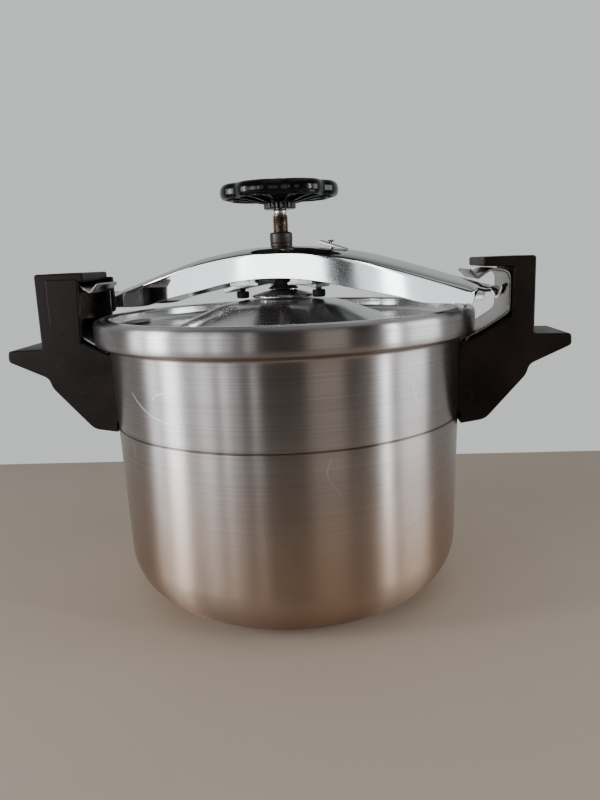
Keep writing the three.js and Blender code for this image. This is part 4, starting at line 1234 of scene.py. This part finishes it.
# %% [markdown]
# ## Rivets and screws
#
# Two rivets hold each lug to the wall, and two screws hold each handle to its lug. Their domed heads are
# seen inside the pot when the lid is off, and down the deep holes outside. They are turned upright
# and then laid along X, and each screw head gets a straight slot.

# %% Fastenings
RIVET_INNER, RIVET_OUTER, RIVET_R = WALL_TOP_R - WALL_T - 2.6, 127.9, 2.6
BOLT_TIP, BOLT_SEAT, BOLT_R, BOLT_HEAD_R = 123.9, 146, 2.4, 4.9
rivet_line = [
    (0, RIVET_INNER - 1.9), (3.0, RIVET_INNER - 1.6, 1.2), (4.6, RIVET_INNER - 0.6, 0.7),
    (4.8, RIVET_INNER, 0.3), (RIVET_R, RIVET_INNER, 0.2), (RIVET_R, RIVET_OUTER, 0.2),
    (4.6, RIVET_OUTER, 0.3), (4.4, 129, 0.5), (3.0, 130, 1.0), (0, 130.2),
]
bolt_line = [
    (0, BOLT_TIP), (BOLT_R, BOLT_TIP, 0.3), (BOLT_R, BOLT_SEAT, 0.2), (BOLT_HEAD_R, BOLT_SEAT, 0.3),
    (BOLT_HEAD_R, 148, 0.6), (3.6, 149.4, 0.8), (0, 149.8),
]

for hand, turn in (("right", 1), ("left", -1)):
    for i, y in enumerate(RIVET_Y, 1):
        rivet = laid(lathed(f"strap_rivet_{hand}_{i}", rivet_line, 0.4, 5, 48), y, RIVET_Z, turn)
        dressed(rivet, "pot", "polished_alu", rivet_metal, f"lug_rivet_{hand}_{i}")
        bolt = worked(lathed(f"grip_screw_{hand}_{i}", bolt_line, 0.4, 5, 48),
                      [block("slot", (-6, 6), (-0.6, 0.6), (148.4, 152))])
        dressed(laid(bolt, y, PIN_Z, turn), "pot", "screw_steel", neck_steel, f"handle_screw_{hand}_{i}")

# %% [markdown]
# ## Floor, light and camera
#
# The cooker stands on a plain pale board, as big as a small table top. Polished metal shows its
# surroundings more than its own colour, so the board stops a short way in front: the lower wall
# mirrors it, and the upper wall looks over its edge into the dim room, where the dark bands come from.
# Tall soft boxes round the pot give the bright bands. Two wide dim ones, named fill, keep the skirt of
# the bar from going black, and a dim one overhead softens the lid.

# %% Floor board
board_line = rounded([(-620, -400), (620, -400), (620, 300), (-620, 300)], 40, 10)
board_edge = ((4, -22), (0, -18), (0, -4), (1.2, -1.2), (4, 0))
floor = skinned("floor", [[(x, y, z) for x, y in drawn_in(board_line, inset)] for inset, z in board_edge])
floor_paint, tree, shader = finish("floor_paint", Roughness=0.62, Specular_IOR_Level=0.3)
coloured(tree, shader, tinted(tree, clouded(tree, 1.6), (0.70, 0.57, 0.45), (0.75, 0.62, 0.50)))
floor.data.materials.append(floor_paint)
print("floor laid")

# %% Camera
AZIMUTH, PITCH_DOWN, ROLL = 0.060, 0.2047, -0.0403
CAMERA_AT, FOCAL_MM, SENSOR_MM = (0.0383, -0.4929, 0.2350), 30.59, 36.0
back = Vector((math.sin(AZIMUTH) * math.cos(PITCH_DOWN), -math.cos(AZIMUTH) * math.cos(PITCH_DOWN),
               math.sin(PITCH_DOWN)))
right = (-back).cross(Vector((0, 0, 1))).normalized()
up = right.cross(-back)
across_view = right * math.cos(ROLL) + up * math.sin(ROLL)
up_view = up * math.cos(ROLL) - right * math.sin(ROLL)
lens = bpy.data.cameras.new("camera")
lens.lens, lens.sensor_width, lens.sensor_fit = FOCAL_MM, SENSOR_MM, "AUTO"
lens.clip_start = 0.01
camera = bpy.data.objects.new("camera", lens)
bpy.context.scene.collection.objects.link(camera)
pose = Matrix((across_view, up_view, back)).transposed().to_4x4()
pose.translation = CAMERA_AT
camera.matrix_world = pose
bpy.context.scene.camera = camera
print("camera at", [round(v, 3) for v in camera.location])

# %% Soft boxes and room light


def soft_box(name, place, aim, size, power, tint):
    """A rectangular lamp that points at a place. The camera doesn't see it, but metal mirrors it."""
    lamp = bpy.data.lights.new(name, "AREA")
    lamp.shape, lamp.size, lamp.size_y = "RECTANGLE", size[0], size[1]
    lamp.energy, lamp.color = power, tint
    holder = bpy.data.objects.new(name, lamp)
    holder.location = place
    holder.rotation_euler = (Vector(aim) - Vector(place)).to_track_quat("-Z", "Y").to_euler()
    holder.visible_camera = False
    bpy.context.scene.collection.objects.link(holder)


COOL, WARM, POT_MIDDLE = (0.93, 0.97, 1.0), (1.0, 0.90, 0.80), (0, 0, 0.16)

# The angle goes round the pot: 0 is in front, 90 is the right side and -90 the left.
for name, angle, distance, height, size, power, tint in (
        ("window_left", -69, 1.5, 0.30, (0.30, 0.9), 12.0, COOL),
        ("window_left_edge", -84, 1.5, 0.30, (0.22, 0.9), 3.6, COOL),
        ("fill_left", -54, 1.62, 0.30, (0.30, 0.7), 1.3, COOL),
        ("window_front_left", -45, 1.6, 0.30, (0.26, 0.7), 3.0, COOL),
        ("fill_front", -30, 1.62, 0.30, (0.40, 0.7), 1.3, COOL),
        ("window_front_slit", -33, 1.6, 0.30, (0.06, 0.7), 1.0, COOL),
        ("door_slit", -15, 1.7, 0.30, (0.04, 0.7), 0.7, COOL),
        ("warm_wall", 27, 1.9, 0.30, (0.72, 0.7), 1.6, WARM),
        ("slit_right", 64.5, 1.5, 0.32, (0.08, 0.9), 5.4, COOL),
        ("window_right", 86, 1.6, 0.34, (0.66, 0.9), 8.6, COOL)):
    a = math.radians(angle)
    soft_box(name, (distance * math.sin(a), -distance * math.cos(a), height), POT_MIDDLE, size, power, tint)
soft_box("overhead_box", (0.35, -0.45, 1.6), (0, 0, 0.2), (1.5, 1.0), 1.7, COOL)

world = bpy.data.worlds.new("room")
world.use_nodes = True
bpy.context.scene.world = world
tree = world.node_tree
tree.nodes.clear()
DARK_ROOM, PALE_WALL, BACKDROP = (0.016, 0.013, 0.013), (0.44, 0.455, 0.455), (0.68, 0.70, 0.70)
to_the_back = axes(tree, tree.nodes.new("ShaderNodeTexCoord").outputs["Generated"])[1]
room = tinted(tree, between(tree, to_the_back, -0.1, 0.7), DARK_ROOM, PALE_WALL)
seen = tree.nodes.new("ShaderNodeLightPath").outputs["Is Camera Ray"]
sky = add_node(tree, "ShaderNodeBackground", {"Color": tinted(tree, seen, room, BACKDROP), "Strength": 1.0})
add_node(tree, "ShaderNodeOutputWorld", {"Surface": sky.outputs[0]})
